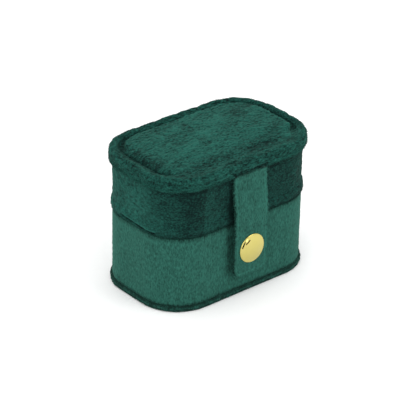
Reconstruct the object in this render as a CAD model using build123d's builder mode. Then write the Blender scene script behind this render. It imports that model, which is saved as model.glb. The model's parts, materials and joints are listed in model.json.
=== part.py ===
"""Travel jewelry case: a rounded box of greyboard wrapped in velvet, in millimetres.

The base is a board wall on a wrapped bottom panel, lined inside, with foam ring rolls
and an open well. The lid is a second board wall under a wrapped, padded top, with a
mirror inside, and it swings on a velvet strip glued across the back. A short strap hangs
from under the lid's top and snaps to the base with a brass press fastener.

+Z is up, +X runs along the long side and -Y is the front, where the strap is. The origin
is the middle of the face that the case stands on.
"""

import os

from build123d import *

# --- Driving dimensions ---------------------------------------------------------------

# Outline of the base wall over its velvet.
case_length = 76.0
case_width = 47.5
case_corner = 17.0

# Sheet materials.
wall_board = 1.8  # greyboard of both walls
velvet = 1.0  # outer velvet on the walls, backing and pile
lining = 0.7  # short-pile velvet inside
edge_fold = 0.6  # velvet pressed thin where it turns over a board's edge

# Heights.
base_height = 32.2  # from the surface that it stands on to the base's rim
closing_gap = 0.3  # between base and lid when closed
lid_wall_height = 20.5  # from the lid's lower edge to its overhanging top

# Bottom panel.
bottom_skin = 0.5
bottom_board = 1.6
bottom_overhang = 0.9
bottom_turn_in = 8.0  # how far the velvet turns in over the panel from its edge
floor_board = 1.6

# Lid top.
top_overhang = 1.4
top_skin = 0.8
top_board = 1.8
rim_cord = 2.0  # diameter of the filler cord under the rim
rim_groove = 2.5  # width of the groove between the rim and the pad
pad_foam = 2.2
pad_round = 0.6  # share of the foam's height that rounds its upper edge
full_round = 0.48  # share of a thickness that leaves it almost fully round

# Lid hem: the velvet rolls outwards a little round the lid's lower edge.
hem_height = 4.0
hem_flare = 0.6

# Mirror.
mirror_backer = 1.0
mirror_glass = 1.6
mirror_lip = 0.8
mirror_border = 3.5  # from the lining to the glass
mirror_lap = 1.0  # how far the frame's lip covers the glass
loose_fit = 0.1

# Ring rolls and the well beside them.
roll_count = 4
roll_width = 10.6
roll_recess = 5.1  # from the base's rim down to the rolls
roll_gap = 0.4
roll_cover = 0.7
roll_card = 1.2
tray_clearance = 0.4  # between the tray's pieces and the lining
divider_board = 1.2
divider_recess = 5.3  # from the base's rim down to the divider

# Strap.
strap_width = 17.0
strap_tail = 11.5  # from the snap's axis down to its lower end
strap_corner = 3.0
strap_velvet = 0.6
strap_core = 0.5
strap_backing = 0.3
strap_root = 4.6  # length glued to the lid wall
strap_joint_gap = 0.3
strap_lift = 0.2  # between the wall and the upper end of the free strap
strap_knee_rise = 2.5  # from the lid's lower edge up to where the strap hangs straight

# Press fastener.
snap_drop = 11.7  # from the base's rim down to the snap's axis
cap_radius = 6.25
cap_dome = 2.0
cap_edge = 0.4
cap_post_radius = 1.5
socket_radius = 5.0
socket_depth = 1.25
socket_round = 0.4
socket_wall_gap = 0.35  # between the socket and the base's wall
spring_wire = 0.35
spring_clearance = 0.05  # between the spring and the stud's head
stud_radius = 1.9
stud_neck = 1.55
stud_flange = 4.6
stud_flange_sink = 0.4
stud_flange_proud = 0.05
stud_end_gap = 0.15  # between the stud and the strap's back
stud_head = 0.6
rivet_radius = 1.4
rivet_head = 4.0
rivet_head_depth = 0.4

# Hinge strip across the back.
hinge_margin = 1.0  # from the strip's end to where the wall starts to curve
hinge_strip = 0.8
hinge_leaf = 11.5

# --- Worked-out places ----------------------------------------------------------------

board_face = velvet
board_back = velvet + wall_board
cavity_inset = board_back + lining
tray_inset = cavity_inset + tray_clearance

panel_top = bottom_skin + bottom_board + bottom_skin
floor_top = panel_top + floor_board
cavity_floor = floor_top + lining

lid_bottom = base_height + closing_gap
lid_wall_top = lid_bottom + lid_wall_height
top_plate_bottom = lid_wall_top + edge_fold
top_plate_top = top_plate_bottom + top_board
groove_floor = top_plate_top + top_skin
rim_top = top_plate_top + rim_cord + top_skin
pad_top = top_plate_top + pad_foam + top_skin
rim_width = rim_cord + 2 * top_skin
rim_inset = rim_width - top_overhang
pad_wrap_inset = rim_inset + rim_groove
pad_inset = pad_wrap_inset + top_skin

mirror_top = top_plate_bottom - mirror_backer
mirror_face = mirror_top - mirror_glass
frame_bottom = mirror_face - mirror_lip
mirror_inset = cavity_inset + mirror_border
frame_inset = cavity_inset + loose_fit

roll_bottom = cavity_floor + roll_card
roll_top = base_height - roll_recess
roll_pitch = roll_width + roll_gap
roll_zone_start = -case_length / 2 + tray_inset
roll_zone_end = roll_zone_start + roll_count * roll_pitch
divider_thickness = divider_board + 2 * lining
divider_middle = roll_zone_end + divider_thickness / 2
divider_top = base_height - divider_recess

front = -case_width / 2
snap_height = base_height - snap_drop
strap_thickness = strap_backing + strap_core + strap_velvet
strap_root_bottom = lid_wall_top - strap_root
strap_top = strap_root_bottom - strap_joint_gap
strap_axis_height = strap_root_bottom - strap_joint_gap / 2
strap_axis_place = front - strap_lift - strap_thickness
strap_end = snap_height - strap_tail
strap_knee = lid_bottom + strap_knee_rise
strap_stand_off = socket_depth + socket_wall_gap
strap_back = front - strap_stand_off
strap_face = strap_back - strap_thickness
strap_reach = strap_stand_off + strap_thickness

socket_bore = stud_radius + spring_clearance + spring_wire
stud_reach = strap_stand_off - stud_flange_proud - stud_end_gap

hinge_axis = case_width / 2 + hinge_strip
hinge_width = case_length - 2 * case_corner - 2 * hinge_margin
hairline = 0.001  # how near an edge must be to a height or a place to be taken as there


# --- Shared shapes --------------------------------------------------------------------


def outline(inset, mode=Mode.ADD):
    """The case's rounded outline, drawn in by inset, or let out if it is negative."""
    return RectangleRounded(
        case_length - 2 * inset,
        case_width - 2 * inset,
        case_corner - inset,
        mode=mode,
    )


def slab(inset, bottom, top, mode=Mode.ADD):
    """A solid plate of the case's outline between two heights."""
    with BuildSketch(Plane.XY.offset(bottom)) as plan:
        outline(inset)
    return extrude(plan.sketch, amount=top - bottom, mode=mode)


def ring(outer_inset, inner_inset, bottom, top, mode=Mode.ADD):
    """A wall that follows the case's outline between two insets and two heights."""
    with BuildSketch(Plane.XY.offset(bottom)) as plan:
        outline(outer_inset)
        outline(inner_inset, mode=Mode.SUBTRACT)
    return extrude(plan.sketch, amount=top - bottom, mode=mode)


def snap_plane(place):
    """The plane square to the snap's axis at a place along Y, facing forwards."""
    return Plane(origin=(0, place, snap_height), x_dir=(1, 0, 0), z_dir=(0, -1, 0))


def front_disc(radius, start, length, mode=Mode.ADD):
    """A disc about the snap's axis, from start, running forwards by length."""
    with BuildSketch(snap_plane(start)) as disc:
        Circle(radius)
    return extrude(disc.sketch, amount=length, mode=mode)


def edges_at(part, height):
    """The edges of a part that lie flat at one height."""
    return part.edges().filter_by_position(Axis.Z, height - hairline, height + hairline)


def write(part, name):
    """Labels a finished piece and writes its STEP file."""
    part.label = name
    export_step(part, f"parts/{name}.step")


os.makedirs("parts", exist_ok=True)

# --- Bottom panel ---------------------------------------------------------------------

with BuildPart() as bottom_panel_board:
    slab(bottom_skin - bottom_overhang, bottom_skin, bottom_skin + bottom_board)
write(bottom_panel_board.part, "bottom_board")

with BuildPart() as bottom_panel_velvet:
    slab(-bottom_overhang, 0, panel_top)
    rolled = edges_at(bottom_panel_velvet, 0) + edges_at(bottom_panel_velvet, panel_top)
    fillet(rolled, radius=bottom_overhang)
    slab(
        bottom_skin - bottom_overhang,
        bottom_skin,
        bottom_skin + bottom_board,
        mode=Mode.SUBTRACT,
    )
    slab(
        bottom_turn_in - bottom_overhang,
        bottom_skin + bottom_board,
        panel_top,
        mode=Mode.SUBTRACT,
    )
write(bottom_panel_velvet.part, "bottom_velvet")

# --- Base wall ------------------------------------------------------------------------

with BuildPart() as base_wall_board:
    ring(board_face, board_back, panel_top, base_height - edge_fold)
    front_disc(rivet_radius, front + board_back, board_back, mode=Mode.SUBTRACT)
write(base_wall_board.part, "base_board")

with BuildPart() as base_floor:
    slab(board_back, panel_top, floor_top)
write(base_floor.part, "base_floor_board")

with BuildPart() as base_outer_velvet:
    ring(0, board_face, panel_top, base_height)
    ring(board_face, board_back, base_height - edge_fold, base_height)
    front_disc(stud_flange, front + stud_flange_sink, stud_flange, mode=Mode.SUBTRACT)
    front_disc(rivet_radius, front + board_face, board_face, mode=Mode.SUBTRACT)
write(base_outer_velvet.part, "base_velvet")

with BuildPart() as base_wall_lining:
    ring(board_back, cavity_inset, floor_top, base_height)
    front_disc(
        rivet_head,
        front + board_back + rivet_head_depth,
        rivet_head_depth,
        mode=Mode.SUBTRACT,
    )
write(base_wall_lining.part, "base_lining")

with BuildPart() as base_floor_lining:
    slab(cavity_inset, floor_top, cavity_floor)
write(base_floor_lining.part, "floor_lining")

# --- Ring rolls -----------------------------------------------------------------------


def roll_profile(middle, shrink):
    """An arch on a flat foot, square to Y: the section of one roll, drawn in by shrink."""
    width = roll_width - 2 * shrink
    straight = roll_top - roll_bottom - roll_width / 2
    with BuildSketch(Plane.XZ) as section:
        with Locations((middle, roll_bottom + straight / 2)):
            Rectangle(width, straight)
        with Locations((middle, roll_bottom + straight)):
            Circle(width / 2)
    return section.sketch


def roll_solid(middle, shrink):
    """One roll across the case, its ends shaped by the wall that it stands against."""
    with BuildPart() as roll:
        extrude(roll_profile(middle, shrink), amount=case_width / 2, both=True)
        slab(tray_inset + shrink, roll_bottom, base_height, mode=Mode.INTERSECT)
    return roll.part


for number in range(1, roll_count + 1):
    roll_middle = roll_zone_start + (number - 0.5) * roll_pitch
    foam = roll_solid(roll_middle, roll_cover)
    with BuildPart() as cover:
        add(roll_solid(roll_middle, 0))
        add(foam, mode=Mode.SUBTRACT)
    write(foam, f"ring_roll_foam_{number}")
    write(cover.part, f"ring_roll_cover_{number}")

with BuildPart() as roll_tray:
    slab(tray_inset, cavity_floor, roll_bottom)
    split(bisect_by=Plane.YZ.offset(roll_zone_end - roll_gap), keep=Keep.BOTTOM)
write(roll_tray.part, "ring_roll_card")

# --- Divider --------------------------------------------------------------------------


def divider_solid(thickness, inset, top):
    """An upright plate across the case at the divider, up to a height."""
    with BuildPart() as plate:
        slab(inset, cavity_floor, top)
        with Locations((divider_middle, 0, (cavity_floor + top) / 2)):
            Box(thickness, case_width, top - cavity_floor, mode=Mode.INTERSECT)
    return plate.part


divider_core = divider_solid(divider_board, tray_inset + lining, divider_top - lining)
with BuildPart() as divider_wrap:
    add(divider_solid(divider_thickness, tray_inset, divider_top))
    add(divider_core, mode=Mode.SUBTRACT)
write(divider_core, "divider_board")
write(divider_wrap.part, "divider_velvet")

# --- Lid wall -------------------------------------------------------------------------

tab_width = strap_width - 2 * strap_velvet


def strap_tab(mode=Mode.ADD):
    """The strap's stiffener where it turns in under the lid's top."""
    tab_outer = front - top_overhang
    tab_inner = front + board_back
    with Locations((0, (tab_outer + tab_inner) / 2, lid_wall_top + edge_fold / 2)):
        Box(tab_width, tab_inner - tab_outer, edge_fold, mode=mode)


with BuildPart() as lid_wall_board:
    ring(board_face, board_back, lid_bottom + edge_fold, top_plate_bottom)
    strap_tab(mode=Mode.SUBTRACT)
write(lid_wall_board.part, "lid_board")

with BuildPart() as lid_outer_velvet:
    slab(-hem_flare, lid_bottom, lid_bottom + hem_height)
    hem_edges = edges_at(lid_outer_velvet, lid_bottom)
    hem_edges += edges_at(lid_outer_velvet, lid_bottom + hem_height)
    fillet(hem_edges, radius=hem_flare)
    slab(0, lid_bottom + hem_flare, lid_wall_top)
    slab(board_face, lid_bottom + edge_fold, lid_wall_top, mode=Mode.SUBTRACT)
    slab(board_back, lid_bottom, lid_wall_top, mode=Mode.SUBTRACT)
write(lid_outer_velvet.part, "lid_velvet")

with BuildPart() as lid_wall_lining:
    ring(board_back, cavity_inset, lid_bottom, mirror_top)
write(lid_wall_lining.part, "lid_lining")

# --- Lid top --------------------------------------------------------------------------

with BuildPart() as lid_plate:
    slab(top_skin - top_overhang, top_plate_bottom, top_plate_top)
write(lid_plate.part, "lid_top_board")

with BuildPart() as cord_loop:
    cord_outer = top_skin - top_overhang
    cord_top = top_plate_top + rim_cord
    ring(cord_outer, cord_outer + rim_cord, top_plate_top, cord_top)
    cord_edges = edges_at(cord_loop, top_plate_top) + edges_at(cord_loop, cord_top)
    fillet(cord_edges, radius=full_round * rim_cord)
write(cord_loop.part, "lid_rim_cord")

with BuildPart() as pad_foam_solid:
    slab(pad_inset, top_plate_top, top_plate_top + pad_foam)
    fillet(edges_at(pad_foam_solid, top_plate_top + pad_foam), radius=pad_round * pad_foam)
write(pad_foam_solid.part, "lid_top_foam")

with BuildPart() as lid_top_wrap:
    slab(-top_overhang, lid_wall_top, rim_top)
    slab(rim_inset, groove_floor, rim_top, mode=Mode.SUBTRACT)
    fillet(edges_at(lid_top_wrap, rim_top), radius=full_round * rim_width)
    fillet(edges_at(lid_top_wrap, lid_wall_top), radius=top_overhang / 2)
    slab(pad_wrap_inset, groove_floor, pad_top)
    fillet(edges_at(lid_top_wrap, pad_top), radius=pad_round * pad_foam)
    slab(top_skin - top_overhang, top_plate_bottom, top_plate_top, mode=Mode.SUBTRACT)
    slab(board_face, lid_wall_top, top_plate_bottom, mode=Mode.SUBTRACT)
    add(cord_loop.part, mode=Mode.SUBTRACT)
    add(pad_foam_solid.part, mode=Mode.SUBTRACT)
    strap_tab(mode=Mode.SUBTRACT)
write(lid_top_wrap.part, "lid_top_velvet")

# --- Mirror ---------------------------------------------------------------------------

with BuildPart() as mirror_card:
    slab(board_back, mirror_top, top_plate_bottom)
write(mirror_card.part, "mirror_backer")

with BuildPart() as mirror:
    slab(mirror_inset, mirror_face, mirror_top)
write(mirror.part, "mirror_glass")

with BuildPart() as mirror_surround:
    ring(frame_inset, mirror_inset - loose_fit, mirror_face, mirror_top)
    ring(frame_inset, mirror_inset + mirror_lap, frame_bottom, mirror_face)
write(mirror_surround.part, "mirror_frame")

# --- Hinge strip ----------------------------------------------------------------------


def hinge_leaf_solid(bottom, top):
    """Half of the strip glued across the back, between two heights."""
    with BuildPart() as leaf:
        with Locations((0, case_width / 2 + hinge_strip / 2, (bottom + top) / 2)):
            Box(hinge_width, hinge_strip, top - bottom)
    return leaf.part


base_leaf = hinge_leaf_solid(base_height - hinge_leaf, base_height)
with BuildPart() as lid_leaf:
    add(hinge_leaf_solid(lid_bottom, lid_bottom + hinge_leaf))
    add(lid_outer_velvet.part, mode=Mode.SUBTRACT)
write(base_leaf, "hinge_strip_base")
write(lid_leaf.part, "hinge_strip_lid")

# --- Strap ----------------------------------------------------------------------------


def strap_side(near, far, top, bottom):
    """Side view of one layer of the free strap, from near to far in front of its back."""
    top_back = front - strap_lift - near
    knee_back = strap_back - near
    with BuildSketch(Plane.YZ) as side:
        with BuildLine():
            Polyline(
                (top_back, top),
                (knee_back, strap_knee),
                (knee_back, bottom),
                (knee_back - (far - near), bottom),
                (knee_back - (far - near), strap_knee),
                (top_back - (far - near), top),
                close=True,
            )
        make_face()
    return side.sketch


def strap_layer(near, far, margin):
    """One layer of the free strap, its lower end rounded, drawn in by margin at its edges."""
    width = strap_width - 2 * margin
    bottom = strap_end + margin
    with BuildPart() as layer:
        extrude(strap_side(near, far, strap_top, bottom), amount=width / 2, both=True)
        lower_corners = layer.edges().filter_by(Axis.Y).group_by(Axis.Z)[0]
        fillet(lower_corners, radius=strap_corner - margin)
    return layer.part


strap_back_layer = strap_layer(0, strap_backing, 0)
strap_core_layer = strap_layer(strap_backing, strap_backing + strap_core, strap_velvet)

with BuildPart() as strap_backing_solid:
    add(strap_back_layer)
    front_disc(cap_post_radius, front, strap_reach, mode=Mode.SUBTRACT)
write(strap_backing_solid.part, "strap_backing")

with BuildPart() as strap_core_solid:
    add(strap_core_layer)
    front_disc(cap_post_radius, front, strap_reach, mode=Mode.SUBTRACT)
write(strap_core_solid.part, "strap_core")

with BuildPart() as strap_cover:
    add(strap_layer(strap_backing, strap_thickness, 0))
    add(strap_core_layer, mode=Mode.SUBTRACT)
    front_disc(cap_post_radius, front, strap_reach, mode=Mode.SUBTRACT)
write(strap_cover.part, "strap_velvet")

# The strap's fixed end lies on the lid wall and turns in under the lid's top.
root_middle = strap_root_bottom + strap_root / 2

with BuildPart() as strap_root_stiffener:
    strap_tab()
    with Locations((0, front - strap_backing - strap_core / 2, root_middle)):
        Box(tab_width, strap_core, strap_root)
write(strap_root_stiffener.part, "strap_tab")

with BuildPart() as strap_root_cover:
    with Locations((0, front - strap_thickness / 2, root_middle)):
        Box(strap_width, strap_thickness, strap_root)
    add(strap_root_stiffener.part, mode=Mode.SUBTRACT)
write(strap_root_cover.part, "strap_root")

# --- Press fastener -------------------------------------------------------------------


def dome_point(radius):
    """A point of the cap's dome, which is a slice of a sphere, at a radius from its axis."""
    sphere = (cap_radius**2 + cap_dome**2) / (2 * cap_dome)
    return (radius, cap_edge + cap_dome - sphere + (sphere**2 - radius**2) ** 0.5)


with BuildPart() as cap:
    with BuildSketch(Plane(origin=(0, strap_face, snap_height), x_dir=(1, 0, 0), z_dir=(0, 0, -1))):
        with BuildLine():
            Polyline(
                (0, -strap_thickness),
                (cap_post_radius, -strap_thickness),
                (cap_post_radius, 0),
                (cap_radius, 0),
                (cap_radius, cap_edge),
            )
            ThreePointArc(
                (cap_radius, cap_edge),
                dome_point(cap_radius / 2),
                (0, cap_edge + cap_dome),
            )
            Line((0, cap_edge + cap_dome), (0, -strap_thickness))
        make_face()
    revolve(axis=Axis((0, strap_face, snap_height), (0, 1, 0)))
write(cap.part, "snap_cap")

socket_mouth = strap_back + socket_depth

with BuildPart() as socket:
    front_disc(socket_radius, socket_mouth, socket_depth)
    fillet(socket.edges().group_by(Axis.Y)[-1], radius=socket_round)
    front_disc(socket_bore, front, strap_stand_off, mode=Mode.SUBTRACT)
write(socket.part, "snap_socket")

with BuildPart() as spring:
    with Locations(snap_plane(socket_mouth - spring_wire)):
        Torus(socket_bore - spring_wire / 2, spring_wire / 2)
write(spring.part, "snap_spring")

with BuildPart() as stud:
    front_disc(stud_flange, front + stud_flange_sink, stud_flange_sink + stud_flange_proud)
    front_disc(stud_neck, front - stud_flange_proud, stud_reach)
    front_disc(stud_radius, front - stud_flange_proud - (stud_reach - stud_head), stud_head)
write(stud.part, "snap_stud")

with BuildPart() as rivet:
    front_disc(rivet_head, front + board_back + rivet_head_depth, rivet_head_depth)
    front_disc(rivet_radius, front + board_back, board_back - stud_flange_sink)
write(rivet.part, "snap_rivet")

print(f"overall height {pad_top:.2f}, lid hinge axis at y {hinge_axis:.2f}")
print(f"lid hinge height {base_height + closing_gap / 2:.2f}")
print(f"strap hinge at y {strap_axis_place:.2f}, z {strap_axis_height:.2f}")
print(f"rolls end at x {roll_zone_end:.2f}, top at z {roll_top:.2f}")
print(f"well from x {divider_middle + divider_thickness / 2:.2f}")
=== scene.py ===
"""Travel jewelry case: its velvet, brass, mirror and boards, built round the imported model.

Laid out as an add-on and run as a script. Shapes are worked out in millimetres in the case's
own frame, +Z up and -Y the front, and each mesh is written in metres.
"""

import json
import math
from types import SimpleNamespace

import bpy
import numpy as np
from mathutils import Matrix, Vector


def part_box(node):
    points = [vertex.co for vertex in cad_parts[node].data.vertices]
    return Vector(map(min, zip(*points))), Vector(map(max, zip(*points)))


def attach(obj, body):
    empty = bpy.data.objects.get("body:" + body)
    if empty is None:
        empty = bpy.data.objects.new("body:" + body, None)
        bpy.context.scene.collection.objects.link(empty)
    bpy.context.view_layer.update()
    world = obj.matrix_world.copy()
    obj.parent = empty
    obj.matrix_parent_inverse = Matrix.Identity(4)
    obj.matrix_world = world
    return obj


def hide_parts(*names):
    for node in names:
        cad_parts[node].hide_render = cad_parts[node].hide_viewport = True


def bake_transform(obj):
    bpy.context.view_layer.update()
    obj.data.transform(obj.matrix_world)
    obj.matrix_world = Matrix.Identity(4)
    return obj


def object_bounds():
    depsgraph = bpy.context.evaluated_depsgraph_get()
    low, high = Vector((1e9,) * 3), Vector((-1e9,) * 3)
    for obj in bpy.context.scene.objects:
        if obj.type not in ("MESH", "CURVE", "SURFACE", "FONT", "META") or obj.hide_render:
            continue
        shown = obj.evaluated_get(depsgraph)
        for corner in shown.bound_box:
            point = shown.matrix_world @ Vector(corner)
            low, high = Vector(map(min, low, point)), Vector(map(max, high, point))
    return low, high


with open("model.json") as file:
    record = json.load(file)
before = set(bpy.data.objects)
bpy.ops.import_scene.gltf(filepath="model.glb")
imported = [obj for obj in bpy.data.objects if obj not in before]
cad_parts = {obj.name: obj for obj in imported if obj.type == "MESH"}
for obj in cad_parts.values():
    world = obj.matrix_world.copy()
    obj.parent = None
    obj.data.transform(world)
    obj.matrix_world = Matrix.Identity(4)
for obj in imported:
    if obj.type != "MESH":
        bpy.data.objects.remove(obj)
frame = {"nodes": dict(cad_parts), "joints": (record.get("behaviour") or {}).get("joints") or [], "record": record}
cad_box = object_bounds()

bl_info = {
    "name": "Velvet jewelry case",
    "version": (1, 0, 0),
    "blender": (4, 5, 0),
    "location": "View3D > Sidebar > Jewelry case",
    "description": "Builds the velvet, brass and mirror of a small jewelry case",
    "category": "Add Mesh",
}

MM = 0.001
WALL_FIELD = (218.0, 64.0)  # length and height of the random pile on the walls, in millimetres
TOP_FIELD = (96.0, 64.0)  # length and width of the random pile on a top or a floor

# --- Settings -------------------------------------------------------------------------


def linear(hex_colour):
    """An sRGB hex colour as linear red, green, blue and alpha."""
    srgb = np.array([int(hex_colour[i : i + 2], 16) for i in (1, 3, 5)]) / 255
    low, high = srgb / 12.92, ((srgb + 0.055) / 1.055) ** 2.4
    return (*np.where(srgb <= 0.04045, low, high).tolist(), 1.0)


def length_property(name, description, millimetres):
    """A length that a user may change, given in millimetres and kept in metres."""
    return bpy.props.FloatProperty(
        name=name,
        description=description,
        default=millimetres * MM,
        precision=5,
        subtype="DISTANCE",
        unit="LENGTH",
    )


def angle_property(name, description, degrees):
    """An angle that a user may change, given in degrees and kept in radians."""
    return bpy.props.FloatProperty(
        name=name,
        description=description,
        default=math.radians(degrees),
        subtype="ANGLE",
        unit="ROTATION",
    )


def colour_property(name, description, hex_colour):
    """A colour that a user may change, given as sRGB hex and kept linear."""
    return bpy.props.FloatVectorProperty(
        name=name,
        description=description,
        default=linear(hex_colour)[:3],
        min=0.0,
        max=1.0,
        subtype="COLOR",
    )


class CaseSizes(bpy.types.PropertyGroup):
    """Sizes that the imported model's boxes don't say."""

    corner: length_property("Corner", "Corner radius of the wall's outline", 17.0)
    step: length_property("Step", "Spacing of the velvet's grid where it is seen", 0.34)
    hidden_step: length_property("Hidden step", "Spacing of the grid inside the walls", 1.2)
    wall_velvet: length_property("Wall velvet", "Thickness of the velvet on a wall", 1.0)
    wall_board: length_property("Wall board", "Thickness of a wall's board", 1.8)
    edge_fold: length_property("Edge fold", "Velvet pressed thin over a board's edge", 0.6)
    tuft: length_property("Tufts", "Height of the long pile's tufts", 0.17)
    nap: length_property("Nap", "Height of the short pile's unevenness", 0.045)
    crown: length_property("Crown", "Rise of the lid's pad towards its middle", 0.5)
    pad_rise: length_property("Pad rise", "How far the pad's shoulder stands over the rim", 0.7)
    fibre: length_property("Fibre", "Radius of a bunch of loose fibres at its root", 0.06)
    crease_depth: length_property("Crease depth", "Depth of the fold in the lid's hem", 0.75)
    strap_fuzz: length_property("Strap fuzz", "Pile that stands out at the strap's edges", 0.16)


class CaseColours(bpy.types.PropertyGroup):
    """Colours of the cloth, the metal and what is inside."""

    # Each deep and lit pair are the ends that the nap layer mixes: the pile's own lean, and also the painted shade
    # and painted highlights that the operators put in it.
    body_deep: colour_property("Body shade", "Short pile seen along its fibres", "#09221D")
    body_lit: colour_property("Body light", "Short pile seen across its fibres", "#2C6256")
    lid_deep: colour_property("Lid shade", "Long pile brushed away from the light", "#031917")
    lid_lit: colour_property("Lid light", "Long pile brushed towards the light", "#1E544A")
    lining_deep: colour_property("Lining shade", "Lining seen along its fibres", "#0F2C26")
    lining_lit: colour_property("Lining light", "Lining seen across its fibres", "#24534A")
    brass: colour_property("Brass", "Plated brass of the fastener", "#CBBF74")
    steel: colour_property("Steel", "Spring steel of the socket's spring", "#B9B8B3")
    board: colour_property("Board", "Grey bookbinding board", "#A39C8F")
    foam: colour_property("Foam", "Open-cell foam", "#D9D4C2")
    stiffener: colour_property("Stiffener", "Plastic sheet inside the strap", "#26292B")
    floor: colour_property("Floor", "Floor under the case", "#FAFAFA")


class StageSettings(bpy.types.PropertyGroup):
    """Where the camera stands and how bright the studio is."""

    camera_azimuth: angle_property("Azimuth", "Camera's angle from the front to the left end", 41.03)
    camera_elevation: angle_property("Elevation", "Camera's angle above the floor", 28.52)
    camera_roll: angle_property("Roll", "Camera's lean", 1.3)
    camera_distance: length_property("Distance", "From the case's middle to the camera", 880.0)
    aim_right: length_property("Aim right", "How far right of the middle the camera aims", 0.23)
    aim_down: length_property("Aim down", "How far below the middle the camera aims", 2.24)
    lens: bpy.props.FloatProperty(
        name="Lens", description="Focal length on a 36 mm sensor", default=192.07, unit="CAMERA"
    )
    world_strength: bpy.props.FloatProperty(
        name="World strength", description="Brightness of the studio's white walls", default=1.1
    )


def sizes():
    """The case's sizes in millimetres."""
    kept = bpy.context.scene.case_sizes
    return SimpleNamespace(
        **{key: round(getattr(kept, key) / MM, 4) for key in CaseSizes.__annotations__}
    )


def colours():
    """The case's colours as linear red, green, blue and alpha."""
    kept = bpy.context.scene.case_colours
    return SimpleNamespace(**{key: (*getattr(kept, key), 1.0) for key in CaseColours.__annotations__})


# --- Numbers, paths and grids ---------------------------------------------------------


def node_box(cad_node):
    """A CAD node's lowest and highest corner in millimetres."""
    low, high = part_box(cad_node)
    return np.array(low) / MM, np.array(high) / MM


def eased(value, start, end):
    """0 before start, 1 after end, and a smooth step 3t^2 - 2t^3 between them."""
    share = np.clip((value - start) / (end - start), 0.0, 1.0)
    return share * share * (3 - 2 * share)


def hump(value, centre, half_width):
    """A bell that is 1 at the centre and fades to 0 over about twice the half width."""
    return np.exp(-(((value - centre) / half_width) ** 2))


def run(start, end, step):
    """Points of a straight run from start up to, but without, its end, at most step apart."""
    start, end = np.array(start, float), np.array(end, float)
    count = max(1, math.ceil(np.linalg.norm(end - start) / step))
    return start + (end - start) * (np.arange(count) / count)[:, None]


def turn(centre, radius, first, last, step):
    """Points of an arc in (inset, height): centre + radius * (-cos, sin), without its last one.

    0 degrees points outwards from the case and 90 points up.
    """
    sweep = math.radians(last - first)
    count = max(3, math.ceil(abs(sweep) * radius / step))
    angle = math.radians(first) + sweep * np.arange(count) / count
    return np.stack([centre[0] - radius * np.cos(angle), centre[1] + radius * np.sin(angle)], 1)


def edge_rows(*parts):
    """Rows (inset, share, height) of a profile, joined from its runs and turns."""
    rows = np.concatenate([np.atleast_2d(np.array(part, float)) for part in parts])
    return np.stack([rows[:, 0], np.ones(len(rows)), rows[:, 1]], 1)


def fill_rows(inset, height, count, inwards=True, rise=0.0):
    """Rows that close a face: the outline at one inset shrinks to its middle point.

    The height grows by rise * (1 - share^2), so the face is a shallow crown.
    """
    share = np.linspace(1.0, 0.0, count + 1)
    if not inwards:
        share = share[::-1]
    heights = height + rise * (1 - share**2)
    return np.stack([np.full(count + 1, float(inset)), share, heights], 1)


class Outline:
    """A rounded rectangle as a path that starts at the middle of its back side.

    The place s runs along four straights and four quarter arcs. The centre of curvature and
    the outward angle are both piecewise linear in s, so the point at an inset is
    centre + (corner - inset) * (cos angle, sin angle).
    """

    def __init__(self, length, width, corner, step):
        half_x, half_y = length / 2 - corner, width / 2 - corner
        arc = corner * math.pi / 2
        legs = [half_x, arc, 2 * half_y, arc, 2 * half_x, arc, 2 * half_y, arc, half_x]
        marks = np.concatenate([[0.0], np.cumsum(legs)])
        angles = np.radians([90, 90, 180, 180, 270, 270, 360, 360, 450, 450])
        across = np.array([0, -1, -1, -1, -1, 1, 1, 1, 1, 0]) * half_x
        along = np.array([1, 1, 1, -1, -1, -1, -1, 1, 1, 1]) * half_y
        self.total = marks[-1]
        self.corner = corner
        count = math.ceil(self.total / step)
        self.cloth = np.arange(count + 1) / count * self.total
        self.place = self.cloth[:-1]
        angle = np.interp(self.place, marks, angles)
        self.centre = np.stack(
            [np.interp(self.place, marks, across), np.interp(self.place, marks, along)], 1
        )
        self.outward = np.stack([np.cos(angle), np.sin(angle)], 1)

    def carry(self, rows):
        """A profile's rows (inset, share, height) carried round the outline, as a grid."""
        reach = (self.corner - rows[:, 0])[:, None, None]
        flat = (self.centre[None] + reach * self.outward[None]) * rows[:, 1][:, None, None]
        height = np.broadcast_to(rows[:, 2][:, None, None], flat.shape[:2] + (1,))
        return np.concatenate([flat, height], 2)


def case_outline(step=None):
    """The outline of the case's wall, as the base's velvet has it."""
    low, high = node_box("base_velvet")
    return Outline(high[0] - low[0], high[1] - low[1], sizes().corner, step or sizes().step)


def profile_length(rows):
    """How far along the profile each row lies, on the cloth."""
    steps = np.linalg.norm(np.diff(rows[:, [0, 2]], axis=0), axis=1)
    return np.concatenate([[0.0], np.cumsum(steps)])


# --- Random pile ----------------------------------------------------------------------


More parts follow.
